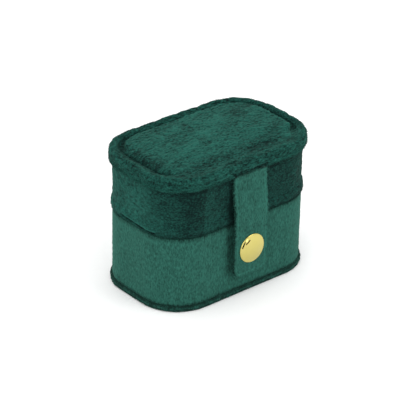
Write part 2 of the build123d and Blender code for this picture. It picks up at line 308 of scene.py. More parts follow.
class Pile:
    """A periodic field of random tufts with unit deviation.

    White noise on a grid of cells is blurred by a Gaussian of the two grain sizes, as a
    product in Fourier space, and looked up between its cells with bilinear weights.
    """

    def __init__(self, seed, grain, size=WALL_FIELD, cell=0.25):
        noise = np.random.default_rng(seed).standard_normal(
            (round(size[1] / cell), round(size[0] / cell))
        )
        up = np.fft.fftfreq(noise.shape[0], cell)[:, None]
        across = np.fft.rfftfreq(noise.shape[1], cell)[None]
        keep = np.exp(-((np.pi * grain[0] * across) ** 2 + (np.pi * grain[1] * up) ** 2) / 2)
        field = np.fft.irfft2(np.fft.rfft2(noise) * keep, noise.shape)
        self.field = field / field.std()
        self.size = size

    def at(self, across, up):
        """The field at places given in millimetres, wrapped round at its edges."""
        across, up = np.broadcast_arrays(across, up)
        rows, columns = self.field.shape
        x = across / self.size[0] * columns
        y = up / self.size[1] * rows
        left, low = np.floor(x).astype(int), np.floor(y).astype(int)
        right_share, high_share = x - left, y - low
        left, low = left % columns, low % rows
        right, high = (left + 1) % columns, (low + 1) % rows
        lower = self.field[low, left] * (1 - right_share) + self.field[low, right] * right_share
        upper = self.field[high, left] * (1 - right_share) + self.field[high, right] * right_share
        return lower * (1 - high_share) + upper * high_share


# --- Meshes ---------------------------------------------------------------------------


def grid_faces(rows, columns, along):
    """Grid places of a grid's quads, and of the triangles at its two poles.

    The columns wrap round. The rows wrap too if along is set, and then there are no poles.
    """
    last_row = rows if along else rows - 1
    row, column = np.meshgrid(np.arange(last_row), np.arange(columns), indexing="ij")
    row, column = row.ravel(), column.ravel()
    corners = np.stack([[row, column], [row, column + 1], [row + 1, column + 1], [row + 1, column]])
    corners = corners.transpose(2, 0, 1)
    if along:
        return corners, corners[:0, :3]
    at_first, at_last = row == 0, row == rows - 2
    first = corners[at_first][:, [0, 2, 3]]
    last = corners[at_last][:, [0, 1, 2]]
    return corners[~(at_first | at_last)], np.concatenate([first, last])


def grid_index(places, rows, columns, along):
    """The vertex that a grid place means: wrapped round, and one vertex for a whole pole."""
    row, column = places[..., 0] % rows, places[..., 1] % columns
    if not along:
        column = np.where((row == 0) | (row == rows - 1), 0, column)
    return row * columns + column


def grid_normals(points, along):
    """Unit normals of a grid: the cross product of its differences across and along it."""
    across = np.roll(points, -1, 1) - np.roll(points, 1, 1)
    if along:
        onwards = np.roll(points, -1, 0) - np.roll(points, 1, 0)
    else:
        onwards = np.gradient(points, axis=0)
    normal = np.cross(across, onwards)
    size = np.linalg.norm(normal, axis=2, keepdims=True)
    return normal / np.maximum(size, 1e-9)


def enclosed(points, faces):
    """Six times the volume that triangles of a closed surface hold, signed by their facing."""
    a, b, c = (points[faces[:, corner]] for corner in range(3))
    return float(np.einsum("ij,ij->", a, np.cross(b, c)))


def grid_mesh(name, points, along=False, cloth=None, **layers):
    """A closed surface as an object, from a grid of points in millimetres.

    Its columns wrap round. Its rows wrap too if along is set, and otherwise the first and the
    last row are each joined to a pole. cloth is the place of each column and row on the flat
    cloth, in millimetres, for the UV map, and each layer is a value per point that the
    materials read.
    """
    rows, columns = points.shape[:2]
    quads, triangles = grid_faces(rows, columns, along)
    flat = points.reshape(-1, 3)
    quad_index = grid_index(quads, rows, columns, along)
    triangle_index = grid_index(triangles, rows, columns, along)
    halves = np.concatenate([quad_index[:, [0, 1, 2]], quad_index[:, [0, 2, 3]], triangle_index])
    if enclosed(flat, halves) < 0:
        quad_index, triangle_index = quad_index[:, ::-1], triangle_index[:, ::-1]
        quads, triangles = quads[:, ::-1], triangles[:, ::-1]
    loops = np.concatenate([quad_index.ravel(), triangle_index.ravel()])
    places = np.concatenate([quads.reshape(-1, 2), triangles.reshape(-1, 2)])
    used, loops = np.unique(loops, return_inverse=True)
    starts = np.concatenate(
        [
            np.arange(len(quads)) * 4,
            len(quads) * 4 + np.arange(len(triangles)) * 3,
        ]
    )
    mesh = bpy.data.meshes.new(name)
    mesh.vertices.add(len(used))
    mesh.vertices.foreach_set("co", (flat[used] * MM).astype(np.float32).ravel())
    mesh.loops.add(len(loops))
    mesh.loops.foreach_set("vertex_index", loops.astype(np.int32))
    mesh.polygons.add(len(starts))
    mesh.polygons.foreach_set("loop_start", starts.astype(np.int32))
    mesh.update(calc_edges=True)
    if cloth is not None:
        sides = np.stack([cloth[0][places[:, 1]], cloth[1][places[:, 0] % len(cloth[1])]], 1)
        uv = mesh.uv_layers.new(name="Cloth")
        uv.data.foreach_set("uv", (sides * MM).astype(np.float32).ravel())
    for layer, values in layers.items():
        attribute = mesh.attributes.new(layer, "FLOAT", "POINT")
        values = np.broadcast_to(values, (rows, columns)).reshape(-1)
        attribute.data.foreach_set("value", values[used].astype(np.float32))
    if mesh.validate():
        raise RuntimeError(f"{name} had faces that Blender mended")
    mesh.shade_smooth()
    piece = bpy.data.objects.new(name, mesh)
    bpy.context.scene.collection.objects.link(piece)
    return piece


def raised(points, height, along=False):
    """A closed grid moved out along its own normals by a height at each point."""
    normal = grid_normals(points, along)
    middle = points.mean((0, 1))
    if np.einsum("ijk,ijk->", normal, points - middle) < 0:
        normal = -normal
    return points + normal * np.asarray(height)[..., None]


def fringe_mesh(name, points, weight, count, length, comb, seed, nap, along=False):
    """Loose fibres that stand out of a grid, as closed three-sided cones in one object.

    Roots are drawn from the grid with the given weight, and sunk a little into it. Each fibre
    points along the surface's normal plus the combed direction plus a random part, and its
    nap rises to the tip.
    """
    upright, scatter, sunk, root_nap, tip_nap = 0.55, 0.35, 0.12, -0.15, 0.35
    chance = np.random.default_rng(seed)
    normal = grid_normals(points, along).reshape(-1, 3)
    flat = points.reshape(-1, 3)
    if np.einsum("ij,ij->", normal, flat - flat.mean(0)) < 0:
        normal = -normal
    weight = np.broadcast_to(weight, points.shape[:2]).ravel()
    picked = chance.choice(len(flat), count, p=weight / weight.sum())
    comb = np.broadcast_to(comb, points.shape).reshape(-1, 3)[picked]
    way = upright * normal[picked] + comb + scatter * chance.standard_normal((count, 3))
    way /= np.linalg.norm(way, axis=1, keepdims=True)
    side = np.cross(way, chance.standard_normal((count, 3)))
    side /= np.linalg.norm(side, axis=1, keepdims=True)
    other = np.cross(way, side)
    reach = (length * chance.uniform(0.5, 1.0, count))[:, None]
    root = flat[picked] - sunk * way
    third = np.arange(3)[:, None, None] * (2 * math.pi / 3)
    base = root + sizes().fibre * (np.cos(third) * side + np.sin(third) * other)
    tip = flat[picked] + reach * way
    corners = np.concatenate([base, tip[None]]).transpose(1, 0, 2).reshape(-1, 3)
    cone = np.array([[0, 1, 3], [1, 2, 3], [2, 0, 3], [2, 1, 0]])
    faces = (np.arange(count)[:, None, None] * 4 + cone).reshape(-1, 3)
    mesh = bpy.data.meshes.new(name)
    mesh.vertices.add(len(corners))
    mesh.vertices.foreach_set("co", (corners * MM).astype(np.float32).ravel())
    mesh.loops.add(faces.size)
    mesh.loops.foreach_set("vertex_index", faces.astype(np.int32).ravel())
    mesh.polygons.add(len(faces))
    mesh.polygons.foreach_set("loop_start", np.arange(len(faces), dtype=np.int32) * 3)
    mesh.update(calc_edges=True)
    shade = np.broadcast_to(nap, points.shape[:2]).ravel()[picked]
    layer = np.repeat(shade[:, None], 4, 1) + np.array([root_nap] * 3 + [tip_nap])
    mesh.attributes.new("nap", "FLOAT", "POINT").data.foreach_set(
        "value", layer.astype(np.float32).ravel()
    )
    piece = bpy.data.objects.new(name, mesh)
    bpy.context.scene.collection.objects.link(piece)
    return piece


def dressed(piece, material, replaces=()):
    """Gives a piece its material and hides the CAD nodes that it stands for."""
    piece.data.materials.append(material)
    if replaces:
        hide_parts(*replaces)


def fitted(piece, body, material, replaces=()):
    """Dresses a piece and puts it on the body that it moves with."""
    dressed(piece, material, replaces)
    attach(piece, body)


# --- Materials ------------------------------------------------------------------------


def node(tree, kind, settings=None, **inputs):
    """Adds a node with its settings, and links or sets each input.

    An input is given by its name, with _ for a space, or by _ and its number.
    """
    made = tree.nodes.new(kind)
    for key, value in (settings or {}).items():
        setattr(made, key, value)
    for key, value in inputs.items():
        number = key[1:]
        socket = made.inputs[int(number) if number.isdigit() else key.replace("_", " ")]
        if isinstance(value, bpy.types.NodeSocket):
            tree.links.new(value, socket)
        else:
            socket.default_value = value
    return made


def blank_material(name):
    """A material with an empty node tree, so that an operator run again takes new colours."""
    material = bpy.data.materials.get(name) or bpy.data.materials.new(name)
    material.use_nodes = True
    material.node_tree.nodes.clear()
    return material, material.node_tree


def velvet(name, deep, lit, lean, grain, coordinates="Object", fine=1.2, soft=0.3, sheen=0.25):
    """Woven polyester velvet, its pile cut and brushed.

    Each fibre is dark along its length and light across it, so the eye sees fine streaks
    along the way it was brushed, soft patches where it leans otherwise, and a pale edge
    wherever the cloth turns away. lean is the brushed direction's stretch along x, y and z,
    and grain the width of a bunch of fibres in millimetres. Real fibres are 0.02 mm wide, too
    fine to show in a render, so they are drawn as bunches. fine and soft are the strengths of
    the streaks and of the patches. The nap layer that mixes the deep and the lit colour also
    carries painted shade and painted highlights, which the operators put in.
    """
    patch_grain, bump_distance = 7, 0.2
    material, tree = blank_material(name)
    where = node(tree, "ShaderNodeTexCoord").outputs[coordinates]
    fine_scale = [1 / (grain * MM * part) for part in lean]
    soft_scale = [1 / (patch_grain * grain * MM * part) for part in lean]
    fine_place = node(tree, "ShaderNodeMapping", Vector=where, Scale=fine_scale)
    soft_place = node(tree, "ShaderNodeMapping", Vector=where, Scale=soft_scale)
    noise = {"Scale": 1.0, "Detail": 2.0}
    tufts = node(tree, "ShaderNodeTexNoise", Vector=fine_place.outputs[0], Roughness=0.6, **noise)
    drifts = node(tree, "ShaderNodeTexNoise", Vector=soft_place.outputs[0], **noise)
    nap = node(tree, "ShaderNodeAttribute", {"attribute_name": "nap"})
    around_zero = {"operation": "MULTIPLY_ADD"}
    streaks = node(tree, "ShaderNodeMath", around_zero, _0=tufts.outputs[0], _1=fine, _2=-fine / 2)
    patches = node(tree, "ShaderNodeMath", around_zero, _0=drifts.outputs[0], _1=soft, _2=-soft / 2)
    both = node(tree, "ShaderNodeMath", _0=streaks.outputs[0], _1=patches.outputs[0])
    shade = node(
        tree, "ShaderNodeMath", {"use_clamp": True}, _0=both.outputs[0], _1=nap.outputs["Fac"]
    )
    mixed = node(tree, "ShaderNodeMix", {"data_type": "RGBA"}, _0=shade.outputs[0], _6=deep, _7=lit)
    bump = node(
        tree, "ShaderNodeBump", Height=tufts.outputs[0], Strength=0.8, Distance=bump_distance * MM
    )
    surface = node(
        tree,
        "ShaderNodeBsdfPrincipled",
        Base_Color=mixed.outputs[2],
        Roughness=0.95,
        IOR=1.5,
        Specular_IOR_Level=0.1,
        Sheen_Weight=sheen,
        Sheen_Roughness=0.45,
        Sheen_Tint=linear("#5FA893"),
        Normal=bump.outputs[0],
    )
    node(tree, "ShaderNodeOutputMaterial", Surface=surface.outputs[0])
    return material


def speckled(name, base, speck, grain, roughness, bump_height=0.05, metallic=0.0):
    """A plain material whose colour wanders between two colours over a grain in millimetres."""
    material, tree = blank_material(name)
    where = node(tree, "ShaderNodeTexCoord").outputs["Object"]
    noise = node(
        tree, "ShaderNodeTexNoise", Vector=where, Scale=1 / (grain * MM), Detail=4.0, Roughness=0.6
    )
    mixed = node(tree, "ShaderNodeMix", {"data_type": "RGBA"}, _0=noise.outputs[0], _6=base, _7=speck)
    bump = node(tree, "ShaderNodeBump", Height=noise.outputs[0], Strength=0.5, Distance=bump_height * MM)
    surface = node(
        tree,
        "ShaderNodeBsdfPrincipled",
        Base_Color=mixed.outputs[2],
        Metallic=metallic,
        Roughness=roughness,
        Normal=bump.outputs[0],
    )
    node(tree, "ShaderNodeOutputMaterial", Surface=surface.outputs[0])
    return material


def body_velvet(coordinates="Object"):
    """Short-pile velvet of the base, the strap and the hinge strip, brushed down the wall.

    Its pile stands nearly upright, so the eye sees an even green with fine upright streaks.
    """
    paint = colours()
    brushed_down = (1.0, 1.0, 2.4) if coordinates == "Object" else (1.0, 2.4, 1.0)
    name = "short_pile_velvet" if coordinates == "Object" else "short_pile_velvet_strap"
    return velvet(
        name, paint.body_deep, paint.body_lit, brushed_down, 0.5, coordinates, fine=1.5, soft=0.12
    )


def lid_velvet():
    """Long-pile velvet of the lid's wall, brushed along it, so it is dark from the front."""
    paint = colours()
    along = (1.5, 1.5, 1.0)
    name = "long_pile_velvet_wall"
    return velvet(name, paint.lid_deep, paint.lid_lit, along, 0.55, fine=1.5, sheen=0.12)


def top_velvet():
    """Long-pile velvet of the lid's top, brushed by hand along its length, so it is streaky."""
    paint = colours()
    along = (2.2, 1.0, 1.0)
    name = "long_pile_velvet_top"
    return velvet(name, paint.lid_deep, paint.lid_lit, along, 0.5, fine=2.6, sheen=0.16)


def lining_velvet():
    """Flocked lining with a very short pile, which looks even and matt."""
    paint = colours()
    upright = (1.0, 1.0, 1.6)
    return velvet("flocked_lining", paint.lining_deep, paint.lining_lit, upright, 0.35, fine=0.5)


def microfibre():
    """Woven microfibre on the strap's back, brushed short, which looks smooth and dark."""
    paint = colours()
    even = (1.0, 1.0, 1.0)
    name = "brushed_microfibre"
    return velvet(name, paint.lining_deep, paint.body_deep, even, 0.3, "UV", fine=0.4, soft=0.1)


def plated_brass():
    """Stamped brass, plated and polished: a clear reflection with faint ripples in it."""
    ripple = linear("#C4B868")
    return speckled("polished_plated_brass", colours().brass, ripple, 2.5, 0.06, 0.003, metallic=1.0)


# --- Bottom and base ------------------------------------------------------------------


class BottomPanelOperator(bpy.types.Operator):
    """Wraps the bottom panel in velvet that rolls round its edge and turns in on top"""

    bl_idname = "jewelry_case.bottom_panel"
    bl_label = "Bottom panel"

    def execute(self, context):
        hidden, glued_width, tuft = sizes().hidden_step, 5.2, 0.09
        low, high = node_box("bottom_velvet")
        wall_low, _ = node_box("base_velvet")
        board_low, board_high = node_box("bottom_board")
        overhang = wall_low[0] - low[0]
        skin = board_low[2] - low[2]
        radius = min(overhang, (high[2] - low[2]) / 2)
        round_inset = radius - overhang
        turn_in = overhang + glued_width
        outline = case_outline()
        rows = np.concatenate(
            [
                fill_rows(round_inset, low[2], 24, inwards=False)[:-1],
                edge_rows(
                    turn((round_inset, low[2] + radius), radius, -90, 0, 0.15),
                    run((-overhang, low[2] + radius), (-overhang, high[2] - radius), 0.2),
                    turn((round_inset, high[2] - radius), radius, 0, 90, 0.15),
                    run((round_inset, high[2]), (turn_in, high[2]), hidden),
                    run((turn_in, high[2]), (turn_in, board_high[2]), hidden),
                    run((turn_in, board_high[2]), (skin - overhang, board_high[2]), hidden),
                    run((skin - overhang, board_high[2]), (skin - overhang, board_low[2]), 0.8),
                ),
                fill_rows(skin - overhang, board_low[2], 6),
            ]
        )
        points = outline.carry(rows)
        seen = eased(rows[:, 2], 0.15, 0.7) * (rows[:, 0] < 0.2) * (rows[:, 1] > 0.99)
        tufts = Pile(11, (1.1, 0.5)).at(outline.place, profile_length(rows)[:, None])
        points = raised(points, tuft * tufts * seen[:, None])
        # The roll is painted near the shade colour, as painted shade under the case's edge, with a lighter band
        # near its top.
        nap = 0.02 + 0.06 * tufts + 0.2 * hump(rows[:, 2], 1.6, 0.35)[:, None]
        cloth = (outline.cloth, profile_length(rows))
        piece = grid_mesh("bottom_panel_velvet", points, cloth=cloth, nap=nap)
        fitted(piece, "base", body_velvet(), ["bottom_velvet"])
        return {"FINISHED"}


def wall_rows(bottom, top):
    """Profile of the base's velvet: up the outside, over the board's edge and back down."""
    fold, step, hidden = sizes().edge_fold, sizes().step, sizes().hidden_step
    thickness = sizes().wall_velvet
    deep = thickness + sizes().wall_board
    return edge_rows(
        run((0, bottom), (0, top - fold), step),
        turn((fold, top - fold), fold, 0, 90, 0.15),
        run((fold, top), (deep, top), 0.3),
        run((deep, top), (deep, top - fold), 0.3),
        run((deep, top - fold), (thickness, top - fold), hidden),
        run((thickness, top - fold), (thickness, bottom), hidden),
        run((thickness, bottom), (0, bottom), 0.5),
    )


def shade_beside_strap(points):
    """1 just beside the strap's left edge, fading to 0 around it: painted shade of the gap behind the strap."""
    strap_low, _ = node_box("strap_velvet")
    side = hump(points[..., 0], strap_low[0] - 0.3, 1.5)
    return side * (points[..., 1] < 0) * eased(points[..., 2], strap_low[2] - 1, strap_low[2] + 4)


class BaseWallOperator(bpy.types.Operator):
    """Covers the base's wall in short-pile velvet, pressed in where the stud is set"""

    bl_idname = "jewelry_case.base_wall"
    bl_label = "Base wall"

    def execute(self, context):
        low, high = node_box("base_velvet")
        stud_low, stud_high = node_box("snap_stud")
        outline = case_outline()
        rows = wall_rows(low[2], high[2])
        points = outline.carry(rows)
        outer = ((rows[:, 0] < 0.3) & (rows[:, 2] > low[2] + 0.3))[:, None]
        along = profile_length(rows)[:, None]
        streaks = Pile(21, (0.5, 0.9)).at(outline.place, along)
        patches = Pile(22, (6.0, 9.0), cell=0.5).at(outline.place, along)
        snap = (stud_low + stud_high) / 2
        off_snap = np.hypot(points[..., 0] - snap[0], points[..., 2] - snap[2])
        flange = (stud_high[0] - stud_low[0]) / 2
        stud_dent, soft_edge = 0.42, 1.2
        near_stud = 1 - eased(off_snap, flange, flange + soft_edge)
        pressed = stud_dent * near_stud * (points[..., 1] < 0)
        points = raised(points, (streaks * sizes().nap - pressed) * outer, along=True)
        # Painted shade: darker just under the lid's hem, and at the wall's foot above the bottom roll.
        in_shade = 1 - eased(high[2] - points[..., 2], 0.0, 2.4)
        foot_shade = 1 - eased(points[..., 2] - low[2], 0.2, 1.2)
        nap = 0.6 + 0.04 * streaks + 0.02 * patches - 0.35 * in_shade - 0.3 * foot_shade
        # Painted shade of the gap behind the strap, beside its left edge.
        nap = nap - 0.35 * shade_beside_strap(points)
        cloth = (outline.cloth, np.append(along, along[-1] + 1))
        piece = grid_mesh("base_wall_velvet", points, along=True, cloth=cloth, nap=nap)
        fitted(piece, "base", body_velvet(), ["base_velvet"])
        cloth_height = high[2] - low[2] + sizes().wall_board + sizes().edge_fold
        return {"FINISHED"}


def lining_ring(name, cad_node, body, rounded_top):
    """A wall's lining: a thin ring inside the board, rounded at the edge that is seen."""
    low, high = node_box(cad_node)
    floor_low, floor_high = node_box("floor_lining")
    thickness = floor_high[2] - floor_low[2]
    outer, tuft = sizes().wall_velvet + sizes().wall_board, 0.03
    inner, half = outer + thickness, thickness / 2
    outline = case_outline(step=0.6)
    bottom, top = low[2], high[2]
    if rounded_top:
        rows = edge_rows(
            run((outer, bottom), (outer, top - half), 2.0),
            turn((outer + half, top - half), half, 0, 180, 0.12),
            run((inner, top - half), (inner, bottom), 0.5),
            run((inner, bottom), (outer, bottom), 0.4),
        )
    else:
        rows = edge_rows(
            run((inner, top), (inner, bottom + half), 0.5),
            turn((outer + half, bottom + half), half, -180, 0, 0.12),
            run((outer, bottom + half), (outer, top), 2.0),
            run((outer, top), (inner, top), 0.4),
        )
    points = outline.carry(rows)
    along = profile_length(rows)
    tufts = Pile(31, (0.7, 0.9)).at(outline.place, along[:, None])
    inside = (rows[:, 0] > outer + half)[:, None]
    points = raised(points, -tufts * tuft * inside, along=True)
    nap = 0.45 + 0.1 * tufts
    cloth = (outline.cloth, np.append(along, along[-1] + 1))
    piece = grid_mesh(name, points, along=True, cloth=cloth, nap=nap)
    fitted(piece, body, lining_velvet(), [cad_node])


class BaseLiningOperator(bpy.types.Operator):
    """Lines the base's wall and floor with flocked cloth"""

    bl_idname = "jewelry_case.base_lining"
    bl_label = "Base lining"

    def execute(self, context):
        lining_ring("base_wall_lining", "base_lining", "base", rounded_top=True)
        low, high = node_box("floor_lining")
        inset, tuft = sizes().wall_velvet + sizes().wall_board + (high[2] - low[2]), 0.03
        outline = case_outline(step=1.0)
        rows = np.concatenate(
            [
                fill_rows(inset, low[2], 4, inwards=False)[:-1],
                edge_rows(run((inset, low[2]), (inset, high[2]), 0.4)),
                fill_rows(inset, high[2], 40),
            ]
        )
        points = outline.carry(rows)
        tufts = Pile(32, (0.8, 0.8), size=TOP_FIELD).at(points[..., 0], points[..., 1])
        top = (rows[:, 2] > high[2] - 0.01)[:, None]
        points[..., 2] += tufts * tuft * top * eased(rows[:, 1], 0.0, 0.1)[:, None]
        nap = 0.42 + 0.1 * tufts
        piece = grid_mesh("base_floor_lining", points, nap=nap)
        fitted(piece, "base", lining_velvet(), ["floor_lining"])
        return {"FINISHED"}


# --- Inside the base ------------------------------------------------------------------


def reach_across(x, inset):
    """How far the case's outline at an inset reaches along Y from its middle at each x."""
    _, high = node_box("base_velvet")
    corner = sizes().corner - inset
    flat_x, flat_y = high[0] - sizes().corner, high[1] - sizes().corner
    past = np.clip(np.abs(x) - flat_x, 0.0, corner)
    return flat_y + np.sqrt(corner**2 - past**2)


def crosswise(section, inset, end_round, step):
    """A closed form across the case: a section in (x, z) carried along Y.

    Its length at each x is the reach of the outline. Towards each end the section shrinks to
    its middle along a quarter circle of the end's rounding, and then closes to a pole.
    """
    middle = section.mean(0)
    quarter = np.linspace(0, math.pi / 2, 7)
    half = max(np.ptp(section[:, 0]), np.ptp(section[:, 1])) / 2
    shrink = np.concatenate([[0.0, 0.3, 0.6, 0.85], 1 - end_round / half * (1 - np.sin(quarter))])
    back = np.concatenate([[0.0] * 4, end_round * (1 - np.cos(quarter))])
    straight = np.linspace(-1, 1, math.ceil(2 * np.max(reach_across(section[:, 0], inset)) / step))
    count = len(straight)
    shrink = np.concatenate([shrink, np.ones(count - 2), shrink[::-1]])[:, None, None]
    reach = reach_across(section[:, 0], inset)[None]
    ends = reach - end_round
    body = straight[1:-1, None] * ends
    first = -reach + back[:, None]
    across = np.concatenate([first, body, -first[::-1]])
    plane = middle + (section - middle)[None] * shrink
    return np.stack([plane[..., 0], across, plane[..., 1]], 2)


def arch_section(low_x, high_x, bottom, top, step):
    """Section of a roll in (x, z): a flat foot, straight sides and a half circle on top."""
    middle, radius = (low_x + high_x) / 2, (high_x - low_x) / 2
    foot = 0.8
    pieces = [
        run((low_x + foot, bottom), (high_x - foot, bottom), 1.0),
        run((high_x - foot, bottom), (high_x, bottom + foot), step),
        run((high_x, bottom + foot), (high_x, top - radius), step),
        turn((middle, top - radius), radius, 180, 0, step),
        run((low_x, top - radius), (low_x, bottom + foot), step),
        run((low_x, bottom + foot), (low_x + foot, bottom), step),
    ]
    return np.concatenate(pieces)


class RingRollsOperator(bpy.types.Operator):
    """Makes the foam ring rolls' covers, pulled taut over the foam with soft dents"""

    bl_idname = "jewelry_case.ring_rolls"
    bl_label = "Ring rolls"

    def execute(self, context):
        covers = sorted(name for name in frame["nodes"] if name.startswith("ring_roll_cover_"))
        inset = node_box("base_velvet")[1][1] - node_box(covers[-1])[1][1]
        spacing, tuft, dent = 0.45, 0.03, 0.10
        for number, cad_node in enumerate(covers, 1):
            low, high = node_box(cad_node)
            section = arch_section(low[0], high[0], low[2], high[2], spacing)
            points = crosswise(section, inset, end_round=1.4, step=0.5)
            around = np.arange(len(section)) * spacing
            along = points[:, :1, 1] + 10 * number
            dents = Pile(40 + number, (7.0, 5.0), cell=0.5).at(around, along)
            tufts = Pile(50 + number, (0.7, 0.9)).at(around, along)
            seen = eased(points[..., 2], low[2] + 0.8, low[2] + 3)
            inner = 1 - eased(np.abs(points[..., 0] - (low[0] + high[0]) / 2), 4.6, 5.2)
            moved = (tuft * tufts + dent * (dents - 1.2) * inner) * seen
            points = raised(points, moved)
            nap = 0.5 + 0.08 * tufts + 0.06 * dents
            piece = grid_mesh(f"ring_roll_{number}", points, nap=nap)
            fitted(piece, "base", lining_velvet(), [cad_node])
        return {"FINISHED"}


class DividerOperator(bpy.types.Operator):
    """Covers the divider between the rolls and the well"""

    bl_idname = "jewelry_case.divider"
    bl_label = "Divider"

    def execute(self, context):
        low, high = node_box("divider_velvet")
        inset = node_box("base_velvet")[1][1] - high[1]
        spacing, tuft = 0.3, 0.025
        section = arch_section(low[0], high[0], low[2], high[2], spacing)
        points = crosswise(section, inset, end_round=0.6, step=0.5)
        around = np.arange(len(section)) * spacing
        tufts = Pile(61, (0.7, 0.9)).at(around, points[:, :1, 1])
        points = raised(points, tufts * tuft)
        piece = grid_mesh("divider_cover", points, nap=0.5 + 0.1 * tufts)
        fitted(piece, "base", lining_velvet(), ["divider_velvet"])
        return {"FINISHED"}


# --- Lid ------------------------------------------------------------------------------


class LidWallOperator(bpy.types.Operator):
    """Covers the lid's wall in long-pile velvet with a rolled, creased hem"""

    bl_idname = "jewelry_case.lid_wall"
    bl_label = "Lid wall"

    def execute(self, context):
        step, hidden, fold = sizes().step, sizes().hidden_step, sizes().edge_fold
        low, high = node_box("lid_velvet")
        flare = node_box("base_velvet")[0][0] - low[0]
        thickness = sizes().wall_velvet
        deep = thickness + sizes().wall_board
        hem_height, hem_top = 4.6, low[2] + 5.5
        outline = case_outline()
        rows = edge_rows(
            run((deep, low[2]), (0.5, low[2]), 0.4),
            turn((0.5, low[2] + 0.8), 0.8, -90, 0, 0.15)[:-1],
            run((-0.25, low[2] + 0.8), (0, hem_top), 0.25),
            run((0, hem_top), (0, high[2]), step),
            run((0, high[2]), (thickness, high[2]), 0.4),
            run((thickness, high[2]), (thickness, low[2] + fold), hidden),
            run((thickness, low[2] + fold), (deep, low[2] + fold), hidden),
            run((deep, low[2] + fold), (deep, low[2]), 0.3),
        )
        points = outline.carry(rows)
        place, along = outline.place[None], profile_length(rows)[:, None]
        height = rows[:, 2][:, None] - low[2]
        outer = ((rows[:, 0] < 0.6) & (rows[:, 2] < high[2] - 0.01))[:, None]
        tufts = Pile(71, (0.8, 0.55)).at(place, along)
        waves = Pile(72, (9.0, 14.0), cell=0.5).at(place, along)
        # The hem is rolled: it stands proud of the wall just above the lid's lower edge.
        roll = 0.75 * flare * np.sin(np.clip(height / hem_height, 0, 1) * math.pi) ** 0.7
        # One fold of the hem was pressed flat at the left end, close to the front corner.
        fold_height = 1.7 - 0.045 * (place - 47)
        inside_fold = eased(place, 46, 50) * (1 - eased(place, 67.0, 68.0))
        groove = hump(height, fold_height, 0.42) * inside_fold
        lip = hump(height, fold_height + 0.8, 0.5) * inside_fold
        wave_height, lip_height = 0.12, 0.3
        moved = roll + 0.4 * sizes().tuft * tufts * eased(height, 0.2, 1.0)
        moved = moved + wave_height * waves * eased(height, 2, 6)
        moved = moved - sizes().crease_depth * groove + lip_height * lip
        points = raised(points, moved * outer, along=True)
        ruffled = 0.04 + 0.08 * (1 - eased(place, 60, 72))
        # Painted shade beside the strap's left edge, along the hem's lower edge where it turns under, and in the
        # fold's groove, with a painted highlight on the fold's lip.
        nap = self.brushed(place, height, waves) + ruffled * tufts - 0.3 * shade_beside_strap(points)
        nap = nap - 0.10 * (1 - eased(height, 0.4, 2.0)) + 0.34 * lip - 0.6 * groove
        cloth = (outline.cloth, np.append(along, along[-1] + 1))
        piece = grid_mesh("lid_wall_velvet", points, along=True, cloth=cloth, nap=nap)
        fitted(piece, "lid", lid_velvet(), ["lid_velvet"])
        cloth_height = high[2] - low[2] + sizes().wall_board + fold
        # Long pile hangs over the hem's edge and hides the gap to the base in front.
        at_hem = outer * (1 - eased(height, 0.8, 1.8)) * (0.4 + 0.6 * (points[..., 1] < 10))
        loose = fringe_mesh(
            "lid_hem_fringe", points, at_hem, 5000, 0.75, (0.0, 0.0, -0.9), 73, nap - 0.05, along=True
        )
        fitted(loose, "lid", lid_velvet())
        return {"FINISHED"}

    def brushed(self, place, height, waves):
        """How light each point of the wall is, by the way its pile leans.

        It is lightest at the ends and darkest in a patch near the front left corner, which
        stops at a slanting edge where the pile was brushed the other way. Just under the rim it
        is painted darker, as painted shade under the rim's overhang.
        """
        edge = 88.3 - 0.12 * (20 - height) + 0.5 * waves
        at_left = 1 - eased(place, 58, 78)
        past_strap = eased(place, 118, 124)
        at_right = eased(place, 138, 150)
        patch = eased(place, 74, 81) * (1 - eased(place, edge - 0.9, edge))
        beside = eased(place, edge - 0.9, edge + 0.5) * (1 - eased(place, 96, 103))
        # Painted shade under the rim's overhang.
        under_rim = eased(height, 17.0, 20.0)
        nap = 0.25 + 0.30 * at_left + 0.10 * at_right - 0.07 * past_strap
        nap = nap - 0.18 * patch + 0.06 * beside
        return nap - 0.12 * under_rim + 0.06 * waves


def evenly(path, count):
    """A path's points moved to equal spacing along it, without its last point."""
    length = np.concatenate([[0.0], np.cumsum(np.linalg.norm(np.diff(path, axis=0), axis=1))])
    marks = np.arange(count) / count * length[-1]
    return np.stack([np.interp(marks, length, path[:, 0]), np.interp(marks, length, path[:, 1])], 1)


def slope_down(start, end):
    """A slope in (inset, height) from start to end that is level at both, as 3t^2 - 2t^3."""
    share = np.linspace(0, 1, 60)[:-1]
    height = start[1] + (end[1] - start[1]) * eased(share, 0, 1)
    return np.stack([start[0] + (end[0] - start[0]) * share, height], 1)


def shoulder(start, end):
    """A quarter ellipse in (inset, height), level at its start and upright at its end."""
    angle = np.linspace(0, math.pi / 2, 60)[:-1]
    inset = end[0] + (start[0] - end[0]) * (1 - np.sin(angle))
    return np.stack([inset, end[1] + (start[1] - end[1]) * np.cos(angle)], 1)


